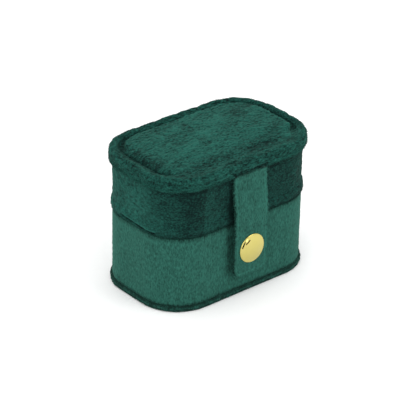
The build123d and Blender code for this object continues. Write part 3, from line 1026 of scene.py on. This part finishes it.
class LidTopOperator(bpy.types.Operator):
    """Makes the lid's padded top: a tufted rim over a cord, a groove and a crowned pad"""

    bl_idname = "jewelry_case.lid_top"
    bl_label = "Lid top"

    def execute(self, context):
        edge, outline = self.edge_places(), case_outline()
        rows, points, rim_start = self.blended(edge, outline)
        hidden_start = rim_start + np.argmax(rows[rim_start:, 2] < edge.bottom + 0.01)
        order = np.arange(len(rows))[:, None]
        on_pad = order < rim_start
        on_rim = (order >= rim_start) & (order < hidden_start)
        place, along = outline.place[None], profile_length(rows)[:, None]
        inset, share = rows[:, 0][:, None], rows[:, 1][:, None]
        x, y = points[..., 0], points[..., 1]
        pad_tufts = Pile(81, (1.1, 0.6), size=TOP_FIELD).at(x, y)
        pad_waves = Pile(82, (11.0, 7.0), size=TOP_FIELD, cell=0.5).at(x, y)
        rim_tufts = Pile(83, (1.5, 0.55)).at(place, along)
        rim_waves = Pile(84, (7.0, 3.0), cell=0.5).at(place, along)
        calm, pad_tuft, pad_wave, rim_wave = eased(1 - share, 1.0, 0.93), 0.09, 0.10, 0.06
        moved = on_pad * calm * (pad_tuft * pad_tufts + pad_wave * pad_waves)
        moved = moved + on_rim * (0.7 * sizes().tuft * rim_tufts + rim_wave * rim_waves)
        points = raised(points, moved)
        height = points[..., 2]
        pad = self.brushed(x, y, pad_waves) + 0.09 * pad_tufts
        # The pad is painted darker down its slope into the groove, as painted shade.
        pad = pad * (0.35 + 0.65 * eased(height, edge.groove + 0.4, edge.rim_top - 0.3))
        outside = inset < edge.middle
        rim = 0.42 + 0.11 * rim_tufts + 0.07 * rim_waves
        rim = rim + 0.22 * hump(height, edge.bottom + 0.9, 0.8) * outside
        strap_low, strap_high = node_box("strap_velvet")
        above_strap = (x > strap_low[0] - 0.5) & (x < strap_high[0] + 0.5) & (y < -20)
        # Painted shadow on the rim's lower edge just above the strap's top end.
        rim = rim - 0.5 * (above_strap & (height < edge.bottom + 1.6))
        lit = np.maximum(outside, eased(height, edge.groove, edge.rim_top - 0.4))
        nap = np.where(on_pad, pad, np.where(on_rim, rim * (0.4 + 0.6 * lit), 0.05))
        cloth = (outline.cloth, profile_length(rows))
        piece = grid_mesh("lid_top_velvet_cover", points, cloth=cloth, nap=nap)
        fitted(piece, "lid", top_velvet(), ["lid_top_velvet"])
        weight = on_rim * (inset < edge.middle + 0.8) * (1 + 2.5 * (height < edge.bottom + 1.4))
        combed = np.zeros(points.shape)
        combed[..., 2] = -0.35
        combed[..., :2] = 0.45 * np.stack([-outline.outward[:, 1], outline.outward[:, 0]], 1)
        loose = fringe_mesh("lid_rim_fringe", points, weight, 12000, 0.85, combed, 86, nap)
        fitted(loose, "lid", top_velvet())
        return {"FINISHED"}

    def edge_places(self):
        """Insets and heights of the rim, the groove and the pad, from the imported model."""
        low, _ = node_box("lid_top_velvet")
        wall_low, _ = node_box("base_velvet")
        board_low, board_high = node_box("lid_top_board")
        cord_low, cord_high = node_box("lid_rim_cord")
        foam_low, _ = node_box("lid_top_foam")
        overhang, skin = wall_low[0] - low[0], board_low[0] - low[0]
        rim_width, rim_top = 2 * skin + (cord_high[2] - cord_low[2]), cord_high[2] + skin
        pulled_in = 0.4
        return SimpleNamespace(
            overhang=overhang,
            skin=skin,
            bottom=low[2],
            board_bottom=board_low[2],
            board_top=board_high[2],
            groove=board_high[2] + skin,
            rim_top=rim_top,
            rim_inset=rim_width - overhang,
            middle=(rim_width - 2 * overhang) / 2,
            half=rim_width / 2,
            pad_edge=foam_low[0] - wall_low[0] - skin - pulled_in,
            pad_top=rim_top + sizes().pad_rise,
        )

    def blended(self, edge, outline):
        """The top's surface, blended round the case from three profiles, and its first rim row.

        The groove is deep at the back and the right, soft at the left and nearly full in
        front. The three profiles have as many rows each, so their points are weighted and
        added. The rows returned are those of the deep groove.
        """
        pad_rows, slope_rows, groove_rows = 62, 44, 36
        centre = (edge.middle, edge.rim_top - edge.half)
        deep = [
            turn((edge.pad_edge + 1.3, edge.pad_top - 1.2), 1.2, 90, 10, 0.1),
            run((edge.pad_edge + 0.1, edge.pad_top - 1.0), (edge.pad_edge - 0.1, edge.groove), 0.1),
            run((edge.pad_edge - 0.1, edge.groove), (edge.rim_inset + 0.2, edge.groove + 0.1), 0.1),
            turn(centre, edge.half, 170, 90, 0.1),
        ]
        inner_rim = turn(centre, edge.half, 125, 90, 0.1)
        front, front_top = edge.pad_edge + 6.8, edge.pad_top - 0.35
        left, left_top = edge.pad_edge + 5.2, edge.pad_top - 0.25
        in_front = [slope_down((front, front_top), (4.3, edge.rim_top - 0.5)), inner_rim]
        at_left = [shoulder((left, left_top), (4.55, edge.rim_top - 1.6)), inner_rim]

        def rows_of(inset, top, slope):
            """One profile's rows: the pad up to its slope, the slope, and the outer run."""
            crown = edge.pad_top + sizes().crown - top
            return np.concatenate(
                [
                    fill_rows(inset, top, pad_rows, inwards=False, rise=crown)[:-1],
                    edge_rows(evenly(np.concatenate(slope), slope_rows), *self.outer_run(edge)),
                    fill_rows(edge.skin - edge.overhang, edge.board_top, 6),
                ]
            )

        rows = rows_of(edge.pad_edge + 1.3, edge.pad_top, deep)
        front_share = eased(outline.place, 66, 80) * (1 - eased(outline.place, 138, 152))
        left_share = eased(outline.place, 32, 46) * (1 - eased(outline.place, 66, 80))
        front_share, left_share = front_share[None, :, None], left_share[None, :, None]
        points = outline.carry(rows) * (1 - front_share - left_share)
        points = points + outline.carry(rows_of(front, front_top, in_front)) * front_share
        points = points + outline.carry(rows_of(left, left_top, at_left)) * left_share
        return rows, points, pad_rows + groove_rows

    def outer_run(self, edge):
        """The profile's runs from the rim's crest down its outside and in under the board."""
        out, foot, foot_round = -edge.overhang, edge.bottom, 0.7
        wall, board = sizes().wall_velvet, edge.skin - edge.overhang
        return [
            turn((edge.middle, edge.rim_top - edge.half), edge.half, 90, 0, 0.22),
            run((out, edge.rim_top - edge.half), (out, foot + foot_round), 0.22),
            turn((out + foot_round, foot + foot_round), foot_round, 0, -90, 0.2),
            run((out + foot_round, foot), (wall, foot), 0.35),
            run((wall, foot), (wall, edge.board_bottom), 0.5),
            run((wall, edge.board_bottom), (board, edge.board_bottom), 0.8),
            run((board, edge.board_bottom), (board, edge.board_top), 0.8),
        ]

    def brushed(self, x, y, waves):
        """How light each point of the pad is, by the way that a hand has brushed the pile.

        Long soft strokes, bent by the slow waves, lie over broad marks. Each mark is a bell
        stretched along its own angle, as (x, y, half length, half width, degrees, strength).
        Most marks are the brushed pile. The dark band down the left slope is partly the pile's
        lean and partly painted shade, and the two thin light lines along the pad's right and
        back edges are painted highlights.
        """
        strokes = Pile(85, (14.0, 2.4), size=TOP_FIELD, cell=0.5).at(
            x + 0.5 * y, y - 0.35 * x + 1.5 * waves
        )
        marks = [
            (6, -17.5, 40, 3.6, 2, -0.36),
            # Dark band down the left slope: partly the pile's lean, partly painted shade.
            (-32.0, -1, 16, 3.4, 88, -0.42),
            (21, 9, 8, 4.0, 100, -0.26),
            (-3, 12, 8, 2.2, 85, -0.24),
            (-5.4, -1.6, 4.4, 2.2, 50, -0.46),
            (-1, 3, 3.6, 2.6, 60, 0.22),
            (-16, -8, 11, 4.5, 12, 0.16),
            (14, -7, 9, 3.0, 20, 0.13),
            (28, -5, 9, 3.6, 85, 0.20),
            (24, -16.5, 11, 3.0, 6, 0.26),
            # The next two thin light lines along the pad's right and back edges are painted highlights.
            (32.4, 0, 14, 0.9, 90, 0.16),
            (6, 19.0, 24, 0.9, 0, 0.12),
        ]
        light = 0.53 + 0.10 * strokes + 0.07 * waves
        for place_x, place_y, long, wide, degrees, strength in marks:
            turned = math.radians(degrees)
            off_x, off_y = x - place_x, y - place_y
            far = off_x * math.cos(turned) + off_y * math.sin(turned)
            beside = off_y * math.cos(turned) - off_x * math.sin(turned)
            light = light + strength * hump(np.hypot(far / long, beside / wide), 0, 1)
        return light


class LidLiningOperator(bpy.types.Operator):
    """Lines the lid's wall and frames its mirror with flocked cloth"""

    bl_idname = "jewelry_case.lid_lining"
    bl_label = "Lid lining and mirror frame"

    def execute(self, context):
        lining_ring("lid_wall_lining", "lid_lining", "lid", rounded_top=False)
        low, high = node_box("mirror_frame")
        glass_low, _ = node_box("mirror_glass")
        wall_low, _ = node_box("base_velvet")
        outer = low[0] - wall_low[0]
        glass = glass_low[0] - wall_low[0]
        gap, lap, soft, bead, tuft = 0.1, 1.0, 0.4, 0.8, 0.025
        face = glass_low[2]
        rows = edge_rows(
            run((outer, high[2]), (outer, low[2] + bead), 0.6),
            turn((outer + bead, low[2] + bead), bead, 0, -90, 0.15),
            run((outer + bead, low[2]), (glass + lap - soft, low[2]), 0.35),
            turn((glass + lap - soft, low[2] + soft), soft, -90, -180, 0.1),
            run((glass + lap, low[2] + soft), (glass + lap, face), 0.2),
            run((glass + lap, face), (glass - gap, face), 0.5),
            run((glass - gap, face), (glass - gap, high[2]), 0.8),
            run((glass - gap, high[2]), (outer, high[2]), 0.8),
        )
        outline = case_outline(step=0.5)
        points = outline.carry(rows)
        tufts = Pile(91, (0.7, 0.8)).at(outline.place, profile_length(rows)[:, None])
        seen = (rows[:, 2] < face - 0.05)[:, None]
        points = raised(points, -tufts * tuft * seen, along=True)
        piece = grid_mesh("mirror_frame_cover", points, along=True, nap=0.45 + 0.1 * tufts)
        fitted(piece, "lid", lining_velvet(), ["mirror_frame"])
        return {"FINISHED"}


# --- Hinge strip and strap ------------------------------------------------------------


class HingeStripOperator(bpy.types.Operator):
    """Lays the velvet strip across the back, which bends where the lid is hinged"""

    bl_idname = "jewelry_case.hinge_strip"
    bl_label = "Hinge strip"

    def execute(self, context):
        low, base_high = node_box("hinge_strip_base")
        lid_low, high = node_box("hinge_strip_lid")
        seam, middle = (base_high[2] + lid_low[2]) / 2, (low[2] + high[2]) / 2
        width, thickness, height = high - low
        soft = 0.3
        outline = Outline(width, height, 0.8, 0.35)
        rows = np.concatenate(
            [
                fill_rows(soft, 0.0, 4, inwards=False)[:-1],
                edge_rows(
                    run((soft, 0), (0, soft), 0.3),
                    run((0, soft), (0, thickness - soft), 0.3),
                    turn((soft, thickness - soft), soft, 0, 90, 0.1),
                ),
                fill_rows(soft, thickness, 60),
            ]
        )
        plate = outline.carry(rows)
        across, along = plate[..., 0], plate[..., 1] + middle
        # The strip rides over the lid's rolled hem and dips into the gap where it bends.
        hem_height, hem_rise, dip_depth, tuft = 4.6, 0.38, 0.25, 0.04
        above_hem = (along - node_box("lid_velvet")[0][2]) / hem_height
        hem = hem_rise * np.sin(np.clip(above_hem, 0, 1) * math.pi) ** 0.7
        dip = dip_depth * hump(along, seam, 0.45)
        outer = rows[:, 2][:, None] / thickness
        tufts = Pile(101, (0.6, 1.6)).at(across, along)
        y = low[1] + plate[..., 2] + outer * (hem - dip + tuft * tufts)
        points = np.stack([across, y, along], 2)
        # Painted shade in the dip at the seam between the lid and the base.
        nap = 0.6 + 0.07 * tufts - 0.2 * hump(along, seam, 0.5)
        piece = grid_mesh("hinge_strip_velvet", points, nap=nap)
        add_cloth_map(piece, np.stack([across, along], 2))
        dressed(piece, body_velvet("UV"), ["hinge_strip_base", "hinge_strip_lid"])
        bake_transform(piece)
        return {"FINISHED"}


def add_cloth_map(piece, cloth_map):
    """A UV map from each grid point's own place on the flat cloth, in metres.

    The vertices are in the grid's order with the poles joined, so each is found by its index
    among the points that the mesh kept.
    """
    mesh = piece.data
    rows, columns = cloth_map.shape[:2]
    keep = np.ones(rows * columns, bool)
    keep[1:columns] = False
    keep[(rows - 1) * columns + 1 :] = False
    flat = (cloth_map.reshape(-1, 2)[keep] * MM).astype(np.float32)
    flat[0], flat[-1] = cloth_map[0].mean(0) * MM, cloth_map[-1].mean(0) * MM
    corner = np.zeros(len(mesh.loops), np.int32)
    mesh.loops.foreach_get("vertex_index", corner)
    layer = mesh.uv_layers.new(name="Cloth")
    layer.data.foreach_set("uv", flat[corner].ravel())


class StrapOperator(bpy.types.Operator):
    """Makes the strap: velvet round a stiff core, and the cloth on its back"""

    bl_idname = "jewelry_case.strap"
    bl_label = "Strap"

    def execute(self, context):
        strap = self.places()
        self.velvet_layer(strap)
        self.backing_layer(strap)
        return {"FINISHED"}

    def places(self):
        """Sizes and places of the strap in millimetres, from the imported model.

        Its back lies on the wall at its glued root, slants outwards below it, and hangs
        parallel to the wall under the knee.
        """
        root_low, root_high = node_box("strap_root")
        free_low, free_high = node_box("strap_velvet")
        wall = node_box("base_velvet")[0][1]
        hinge = next(joint for joint in frame["joints"] if joint["child"] == "strap")
        under_rim, knee_drop = 0.75, 12.5
        thickness = root_high[1] - root_low[1]
        height = root_high[2] - free_low[2] + under_rim
        return SimpleNamespace(
            width=free_high[0] - free_low[0],
            height=height,
            under_rim=under_rim,
            bottom=free_low[2],
            middle=free_low[2] + height / 2,
            rim=root_high[2],
            thickness=thickness,
            wall=wall,
            stand_off=wall - free_low[1] - thickness,
            knee=free_high[2] - knee_drop,
            root=root_low[2] + 1.2,
            bend=hinge["pos_m"][2] / MM,
        )

    def off_wall(self, strap, along):
        """How far the strap's back hangs off the wall at each height, as a smooth step."""
        return strap.stand_off * eased(-along, -strap.root, -strap.knee)

    def velvet_layer(self, strap):
        """The velvet round the stiff core, with its pressed line and the fibres at its edge."""
        width, thickness = strap.width, strap.thickness
        soft, corner, back, sewn_in = 0.5, 3.0, 0.3, 1.2
        glue, tuft, bulge, line_depth = 0.02, 0.04, 0.12, 0.14
        outline = Outline(width, strap.height, corner, 0.25)
        rows = np.concatenate(
            [
                fill_rows(sewn_in, back, 10, inwards=False)[:-1],
                edge_rows(
                    run((sewn_in, back), (0.25, back), 0.3),
                    run((0.25, back), (0, 0.55), 0.2),
                    run((0, 0.55), (0, thickness - soft), 0.25),
                    turn((soft, thickness - soft), soft, 0, 90, 0.12),
                    run((soft, thickness), (2.4, thickness), 0.2),
                ),
                fill_rows(2.4, thickness, 34),
            ]
        )
        plate = outline.carry(rows)
        across, along = plate[..., 0], plate[..., 1] + strap.middle
        # Only the lower corners are round: the upper ones are drawn out square, by the
        # ratio of the strap's half width to the outline's own at each height.
        below_top = np.clip(strap.middle + strap.height / 2 - along, 0, corner)
        half_width = width / 2 - corner + np.sqrt(corner**2 - (corner - below_top) ** 2)
        across = across * (width / 2 / half_width)
        inset, share = rows[:, 0][:, None], rows[:, 1][:, None]
        front_face = eased(rows[:, 2], 0.7 * thickness, thickness)[:, None]
        line = self.edge_line(across, along, strap)
        streaks = Pile(111, (0.5, 1.2)).at(across + 30, along)
        fuzz = Pile(112, (0.5, 0.5)).at(outline.place[None], profile_length(rows)[:, None])
        patches = Pile(113, (4.0, 8.0), cell=0.5).at(across + 30, along)
        at_edge = (1 - eased(inset, 0.2, 1.0)) * (share > 0.99) * (np.abs(across) > 5)
        across = across + np.sign(across) * at_edge * sizes().strap_fuzz * fuzz
        pillow = bulge * (1 - (2 * across / width) ** 4)
        depth = plate[..., 2] + front_face * (tuft * streaks + pillow - line_depth * line)
        y = strap.wall - glue - self.off_wall(strap, along) - depth
        points = np.stack([across, y, along], 2)
        # The pressed line is painted lighter: partly the pressed pile, and partly a painted highlight along its
        # bevel.
        nap = 0.61 + 0.07 * streaks + 0.04 * patches + 0.34 * line
        in_shade = eased(along, strap.rim - 0.6, strap.rim + 0.2)
        # The strap's sides are painted near the shade colour: the dark pile of the cut edge, and painted shade of
        # the gap behind the strap.
        nap = nap * (0.05 + 0.95 * front_face) - 0.45 * in_shade
        piece = grid_mesh("strap_velvet_cover", points, nap=nap)
        add_cloth_map(piece, np.stack([across, along], 2))
        dressed(piece, body_velvet("UV"), ["strap_velvet", "strap_root"])
        self.bend_with_lid(piece, strap)
        combed = np.zeros(points.shape)
        combed[..., 0] = 0.8 * np.sign(across)
        combed[..., 2] = -0.3
        at_rim = (inset < 0.4) * (share > 0.99) * (rows[:, 2][:, None] > 0.5 * thickness)
        loose = fringe_mesh("strap_fringe", points, at_rim, 1800, 0.45, combed, 114, 0.5)
        dressed(loose, body_velvet())
        self.bend_with_lid(loose, strap)

    def edge_line(self, across, along, strap):
        """A pressed line just inside the strap's edge, round its lower corners."""
        inset, corner, half_width = 1.3, 2.2, 0.22
        x = np.abs(across) - (strap.width / 2 - inset - corner)
        z = strap.bottom + inset + corner - along
        in_corner = (x > 0) & (z > 0)
        off = np.where(in_corner, np.hypot(x, z), np.maximum(x, z)) - corner
        return hump(off, 0.0, half_width)

    def bend_with_lid(self, piece, strap):
        """Bakes a layer of the strap's transform into its mesh, without bending it."""
        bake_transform(piece)

    def backing_layer(self, strap):
        """The smooth microfibre cloth on the strap's back, from its lower end to its root."""
        thickness, edge, margin, glue = 0.28, 0.5, 1.4, 0.01
        width, height = strap.width - 2 * edge, strap.height - strap.under_rim - margin
        middle = strap.middle - strap.under_rim / 2
        outline = Outline(width, height, 2.5, 0.5)
        rows = np.concatenate(
            [
                fill_rows(0.1, 0.0, 16, inwards=False)[:-1],
                edge_rows(run((0, 0.1), (0, thickness), 0.1)),
                fill_rows(0.1, thickness, 8),
            ]
        )
        plate = outline.carry(rows)
        across, along = plate[..., 0], plate[..., 1] + middle
        y = strap.wall - glue - self.off_wall(strap, along) - plate[..., 2]
        weave = Pile(121, (0.6, 0.6)).at(across + 30, along)
        points = np.stack([across, y, along], 2)
        nap = 0.4 + 0.06 * weave
        piece = grid_mesh("strap_backing_cloth", points, nap=nap)
        add_cloth_map(piece, np.stack([across, along], 2))
        dressed(piece, microfibre(), ["strap_backing"])
        self.bend_with_lid(piece, strap)


# --- Press fastener -------------------------------------------------------------------


def lathed(name, profile, axis_point, columns):
    """A body turned about an axis along Y.

    The profile is (radius, forwards) in millimetres and starts and ends on the axis, and each
    point goes to (radius cos t, -forwards, radius sin t) from the axis point.
    """
    angle = np.arange(columns) / columns * 2 * math.pi
    radius, forwards = profile[:, 0][:, None], profile[:, 1][:, None]
    points = np.stack(
        [
            axis_point[0] + radius * np.cos(angle),
            axis_point[1] - forwards + 0 * angle,
            axis_point[2] + radius * np.sin(angle),
        ],
        2,
    )
    return grid_mesh(name, points)


def rounded_steps(corners, radius, step=0.05):
    """A profile through corner points with each inner corner rounded by a small arc.

    Each corner is replaced by a quadratic curve between two points beside it, at most a third
    of the way along its two sides.
    """
    corners = np.array(corners, float)
    pieces = [corners[:1]]
    for before, corner, after in zip(corners[:-2], corners[1:-1], corners[2:]):
        into, out = before - corner, after - corner
        near = min(radius, np.linalg.norm(into) / 3, np.linalg.norm(out) / 3)
        first = corner + into / np.linalg.norm(into) * near
        last = corner + out / np.linalg.norm(out) * near
        t = np.linspace(0, 1, max(3, math.ceil(near / step)))[:, None]
        pieces.append((1 - t) ** 2 * first + 2 * t * (1 - t) * corner + t**2 * last)
    return np.concatenate(pieces + [corners[-1:]])


def cap_dome():
    """Where the cap sits on the strap's face, and the sphere that its dome is cut from.

    The crest is the dome's highest point, off the strap's face.
    """
    low, high = node_box("snap_cap")
    radius, rise, skirt = (high[0] - low[0]) / 2 - 0.1, 1.0, 0.45
    return SimpleNamespace(
        across=(low[0] + high[0]) / 2,
        up=(low[2] + high[2]) / 2,
        strap_face=node_box("strap_velvet")[0][1],
        radius=radius,
        sphere=(radius**2 + rise**2) / (2 * rise),
        crest=rise + skirt,
    )


class PressFastenerOperator(bpy.types.Operator):
    """Makes the brass cap, the socket behind the strap and the stud on the wall"""

    bl_idname = "jewelry_case.press_fastener"
    bl_label = "Press fastener"

    def execute(self, context):
        dome = cap_dome()
        for name, cad_node, body, profile, columns in (
            ("press_fastener_cap", "snap_cap", "strap", self.cap_profile(), 160),
            ("press_fastener_socket", "snap_socket", "strap", self.socket_profile(), 128),
            ("press_fastener_stud", "snap_stud", "base", self.stud_profile(), 128),
        ):
            # The cap's profile starts at the strap's face, and the others at their own back.
            back = dome.strap_face if cad_node == "snap_cap" else node_box(cad_node)[1][1]
            piece = lathed(name, profile, (dome.across, back, dome.up), columns)
            fitted(piece, body, plated_brass(), [cad_node])
        return {"FINISHED"}

    def cap_profile(self):
        """A shallow dome with a rolled edge, and its post through the strap."""
        dome, edge, post_radius = cap_dome(), 0.35, 1.5
        post = node_box("snap_cap")[1][1] - dome.strap_face
        radius = np.linspace(0, 1, 40) * (dome.radius - edge)
        crown = dome.crest - dome.sphere + np.sqrt(dome.sphere**2 - radius**2)
        roll = turn((edge - dome.radius, crown[-1] - 0.30), edge, 110, -60, 0.06) * (-1, 1)
        under = [
            (dome.radius - 0.6, 0.05),
            (post_radius, 0.0),
            (post_radius, -post),
            (0.0, -post),
        ]
        return np.concatenate([np.stack([radius, crown], 1), roll, under])

    def socket_profile(self):
        """A flanged ring with a bore that the stud's head enters."""
        low, high = node_box("snap_socket")
        outer, bore, depth = (high[0] - low[0]) / 2, 2.3, high[1] - low[1]
        corners = [
            (0, depth),
            (outer, depth),
            (outer, 0.45),
            (outer - 0.9, 0.35),
            (outer - 1.3, 0.0),
            (bore + 0.35, 0.0),
            (bore, 0.25),
            (bore, depth - 0.15),
            (0, depth - 0.15),
        ]
        return rounded_steps(corners, 0.2)

    def stud_profile(self):
        """A flange on the wall and a waisted post with a dented head."""
        low, high = node_box("snap_stud")
        flange, length = (high[0] - low[0]) / 2, high[1] - low[1]
        plate = length - (node_box("base_velvet")[0][1] - low[1])
        waist, head, dent = 1.55, 1.9, 0.25
        corners = [
            (0, 0),
            (flange, 0),
            (flange, plate + 0.05),
            (2.6, plate + 0.12),
            (waist, plate + 0.3),
            (waist, length - 0.65),
            (head, length - 0.4),
            (head - 0.15, length - 0.05),
            (0.9, length),
            (0.7, length - dent),
            (0, length - dent),
        ]
        return rounded_steps(corners, 0.16)


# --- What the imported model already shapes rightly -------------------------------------


class CarriedPartsOperator(bpy.types.Operator):
    """Gives the boards, foam, mirror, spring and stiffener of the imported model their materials"""

    bl_idname = "jewelry_case.carried_parts"
    bl_label = "Boards, foam and mirror"

    def execute(self, context):
        paint = colours()
        # Greyboard: pressed waste paper, matt, with short fibres and darker flecks.
        board = speckled("pressed_greyboard", paint.board, linear("#7F786C"), 0.6, 0.92)
        # Polyurethane foam: cut open cells, which look like a fine pale sponge.
        foam = speckled("cut_polyurethane_foam", paint.foam, linear("#B5AE98"), 0.5, 0.95, 0.15)
        # Polypropylene sheet: calendered, with a dull even skin.
        dull = linear("#33373A")
        sheet = speckled("calendered_polypropylene", paint.stiffener, dull, 3.0, 0.5, 0.01)
        # Spring steel wire: drawn, so it is bright with faint lines.
        drawn = linear("#9C9B96")
        steel = speckled("drawn_spring_steel", paint.steel, drawn, 0.3, 0.28, 0.003, metallic=1.0)
        # Float glass silvered on its back: almost a perfect reflection, cool and clear.
        silver, tint = linear("#E9EEEE"), linear("#E4EAEA")
        mirror = speckled("silvered_mirror_glass", silver, tint, 8.0, 0.02, 0.0005, metallic=1.0)
        by_slot = {
            "board": board,
            "foam": foam,
            "stiffener": sheet,
            "spring_steel": steel,
            "mirror": mirror,
            "brass": plated_brass(),
            "body_velvet": body_velvet(),
            "lid_velvet": lid_velvet(),
            "lining_velvet": lining_velvet(),
            "strap_backing": lining_velvet(),
        }
        for part in frame["record"]["subparts"]:
            carried = frame["nodes"][part["node"]]
            carried.data.materials.clear()
            carried.data.materials.append(by_slot[part["material_slot"]])
        return {"FINISHED"}


# --- Stage ----------------------------------------------------------------------------


def soft_light(name, place, target, size, power):
    """A square studio light at a place, turned to a target, both in metres."""
    data = bpy.data.lights.new(name, "AREA")
    data.shape, data.size, data.energy = "SQUARE", size, power
    lamp = bpy.data.objects.new(name, data)
    lamp.location = place
    lamp.rotation_mode = "QUATERNION"
    lamp.rotation_quaternion = (Vector(target) - Vector(place)).to_track_quat("-Z", "Y")
    bpy.context.scene.collection.objects.link(lamp)


class StageOperator(bpy.types.Operator):
    """Sets the pale floor, the soft studio lights and the camera"""

    bl_idname = "jewelry_case.stage"
    bl_label = "Stage"

    def execute(self, context):
        scene, setting = context.scene, context.scene.case_stage
        self.floor()
        world = bpy.data.worlds.new("studio_walls")
        world.use_nodes = True
        background = world.node_tree.nodes["Background"]
        background.inputs["Color"].default_value = linear("#FFFFFF")
        background.inputs["Strength"].default_value = setting.world_strength
        scene.world = world
        scene.view_settings.view_transform = "Standard"
        soft_light("key_softbox", (0.45, -0.75, 0.75), (0, 0, 0.03), size=0.6, power=2.6)
        soft_light("fill_softbox", (-0.8, -0.3, 0.55), (0, 0, 0.03), size=0.7, power=2.4)
        soft_light("top_softbox", (0.05, 0.25, 1.1), (0, 0, 0.0), size=0.8, power=1.6)
        self.camera(scene, setting)
        self.mirrored_card("black_card_1", (-5.3, 1.5), (-3.85, 4.4), 0.6, "#000000")
        self.mirrored_card("white_card", (-3.3, 4.0), (-2.7, 5.1), 0.7, "#FFFFFF")
        self.mirrored_card("black_card_2", (-3.7, 2.85), (-1.5, 4.3), 0.5, "#1A0000")
        return {"FINISHED"}

    def mirrored_card(self, name, start, end, wide, colour):
        """A narrow studio card that the polished cap mirrors as a streak from start to end.

        Start and end are (x, z) on the cap in millimetres from its middle. Each corner of the
        card lies along the camera's view of that corner of the streak, mirrored in the dome's
        slope there. Only mirrored rays see the card.
        """
        dome, card_distance, card_strength = cap_dome(), 55.0, 3.0
        start, end = np.array(start), np.array(end)
        aside = np.array([start[1] - end[1], end[0] - start[0]])
        aside = aside / np.linalg.norm(aside) * wide / 2
        spots = np.array([start - aside, start + aside, end + aside, end - aside])
        spots = np.stack([spots[:, 0], 0 * spots[:, 0], spots[:, 1]], 1)
        slope = spots / dome.sphere
        slope[:, 1] = -np.sqrt(1 - (slope**2).sum(1))
        places = spots + np.array([0, 0, dome.up])
        places[:, 1] = dome.strap_face - dome.crest + dome.sphere * (1 + slope[:, 1])
        seen = places - np.array(bpy.context.scene.camera.matrix_world.translation) / MM
        seen = seen / np.linalg.norm(seen, axis=1, keepdims=True)
        mirrored = seen - 2 * (seen * slope).sum(1, keepdims=True) * slope
        corners = (places + card_distance * mirrored) * MM
        mesh = bpy.data.meshes.new(name)
        mesh.from_pydata(corners.tolist(), [], [(0, 1, 2, 3)])
        material, tree = blank_material(name)
        light = node(tree, "ShaderNodeEmission", Color=linear(colour), Strength=card_strength)
        node(tree, "ShaderNodeOutputMaterial", Surface=light.outputs[0])
        mesh.materials.append(material)
        card = bpy.data.objects.new(name, mesh)
        card.visible_camera = card.visible_diffuse = card.visible_shadow = False
        bpy.context.scene.collection.objects.link(card)

    def floor(self):
        """A wide flat floor just under the case."""
        side = 6.0
        mesh = bpy.data.meshes.new("floor")
        corners = [(-side, -side, 0), (side, -side, 0), (side, side, 0), (-side, side, 0)]
        mesh.from_pydata(corners, [], [(0, 1, 2, 3)])
        floor = bpy.data.objects.new("floor", mesh)
        bpy.context.scene.collection.objects.link(floor)
        # Matt paper background roll: even, with hardly any tooth.
        tooth = linear("#F6F6F6")
        mesh.materials.append(speckled("matt_paper_roll", colours().floor, tooth, 4.0, 0.9, 0.02))

    def camera(self, scene, setting):
        """The camera looks at the case's middle from the front left, a little above it."""
        azimuth, elevation = setting.camera_azimuth, setting.camera_elevation
        roll = setting.camera_roll
        level_back = Vector((-math.sin(azimuth), -math.cos(azimuth), 0))
        back = level_back * math.cos(elevation) + Vector((0, 0, math.sin(elevation)))
        level = Vector((math.cos(azimuth), -math.sin(azimuth), 0))
        upright = back.cross(level)
        right = level * math.cos(roll) + upright * math.sin(roll)
        up = upright * math.cos(roll) - level * math.sin(roll)
        middle = Vector((0, 0, (cad_box[0][2] + cad_box[1][2]) / 2))
        aim = middle + right * setting.aim_right - up * setting.aim_down
        data = bpy.data.cameras.new("camera")
        data.lens, data.sensor_width = setting.lens, 36
        camera = bpy.data.objects.new("camera", data)
        turned = Matrix((right, up, back)).transposed().to_4x4()
        camera.matrix_world = Matrix.Translation(aim + back * setting.camera_distance) @ turned
        scene.collection.objects.link(camera)
        scene.camera = camera


# --- Add-on ---------------------------------------------------------------------------

PIECES = (
    CarriedPartsOperator,
    BottomPanelOperator,
    BaseWallOperator,
    BaseLiningOperator,
    RingRollsOperator,
    DividerOperator,
    LidWallOperator,
    LidTopOperator,
    LidLiningOperator,
    HingeStripOperator,
    StrapOperator,
    PressFastenerOperator,
    StageOperator,
)


class CasePanel(bpy.types.Panel):
    """Lists the settings and the pieces of the case"""

    bl_idname = "VIEW3D_PT_jewelry_case"
    bl_label = "Jewelry case"
    bl_space_type = "VIEW_3D"
    bl_region_type = "UI"
    bl_category = "Jewelry case"

    def draw(self, context):
        for group in ("case_sizes", "case_colours", "case_stage"):
            settings = getattr(context.scene, group)
            box = self.layout.box()
            for key in settings.bl_rna.properties.keys():
                if key not in ("rna_type", "name"):
                    box.prop(settings, key)
        for operator in PIECES:
            self.layout.operator(operator.bl_idname)


CLASSES = (CaseSizes, CaseColours, StageSettings, *PIECES, CasePanel)


def register():
    for made in CLASSES:
        bpy.utils.register_class(made)
    bpy.types.Scene.case_sizes = bpy.props.PointerProperty(type=CaseSizes)
    bpy.types.Scene.case_colours = bpy.props.PointerProperty(type=CaseColours)
    bpy.types.Scene.case_stage = bpy.props.PointerProperty(type=StageSettings)


def unregister():
    del bpy.types.Scene.case_sizes, bpy.types.Scene.case_colours, bpy.types.Scene.case_stage
    for made in reversed(CLASSES):
        bpy.utils.unregister_class(made)


def main():
    """Registers the add-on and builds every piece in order."""
    register()
    for operator in PIECES:
        group, name = operator.bl_idname.split(".")
        getattr(getattr(bpy.ops, group), name)()


if __name__ == "__main__":
    main()
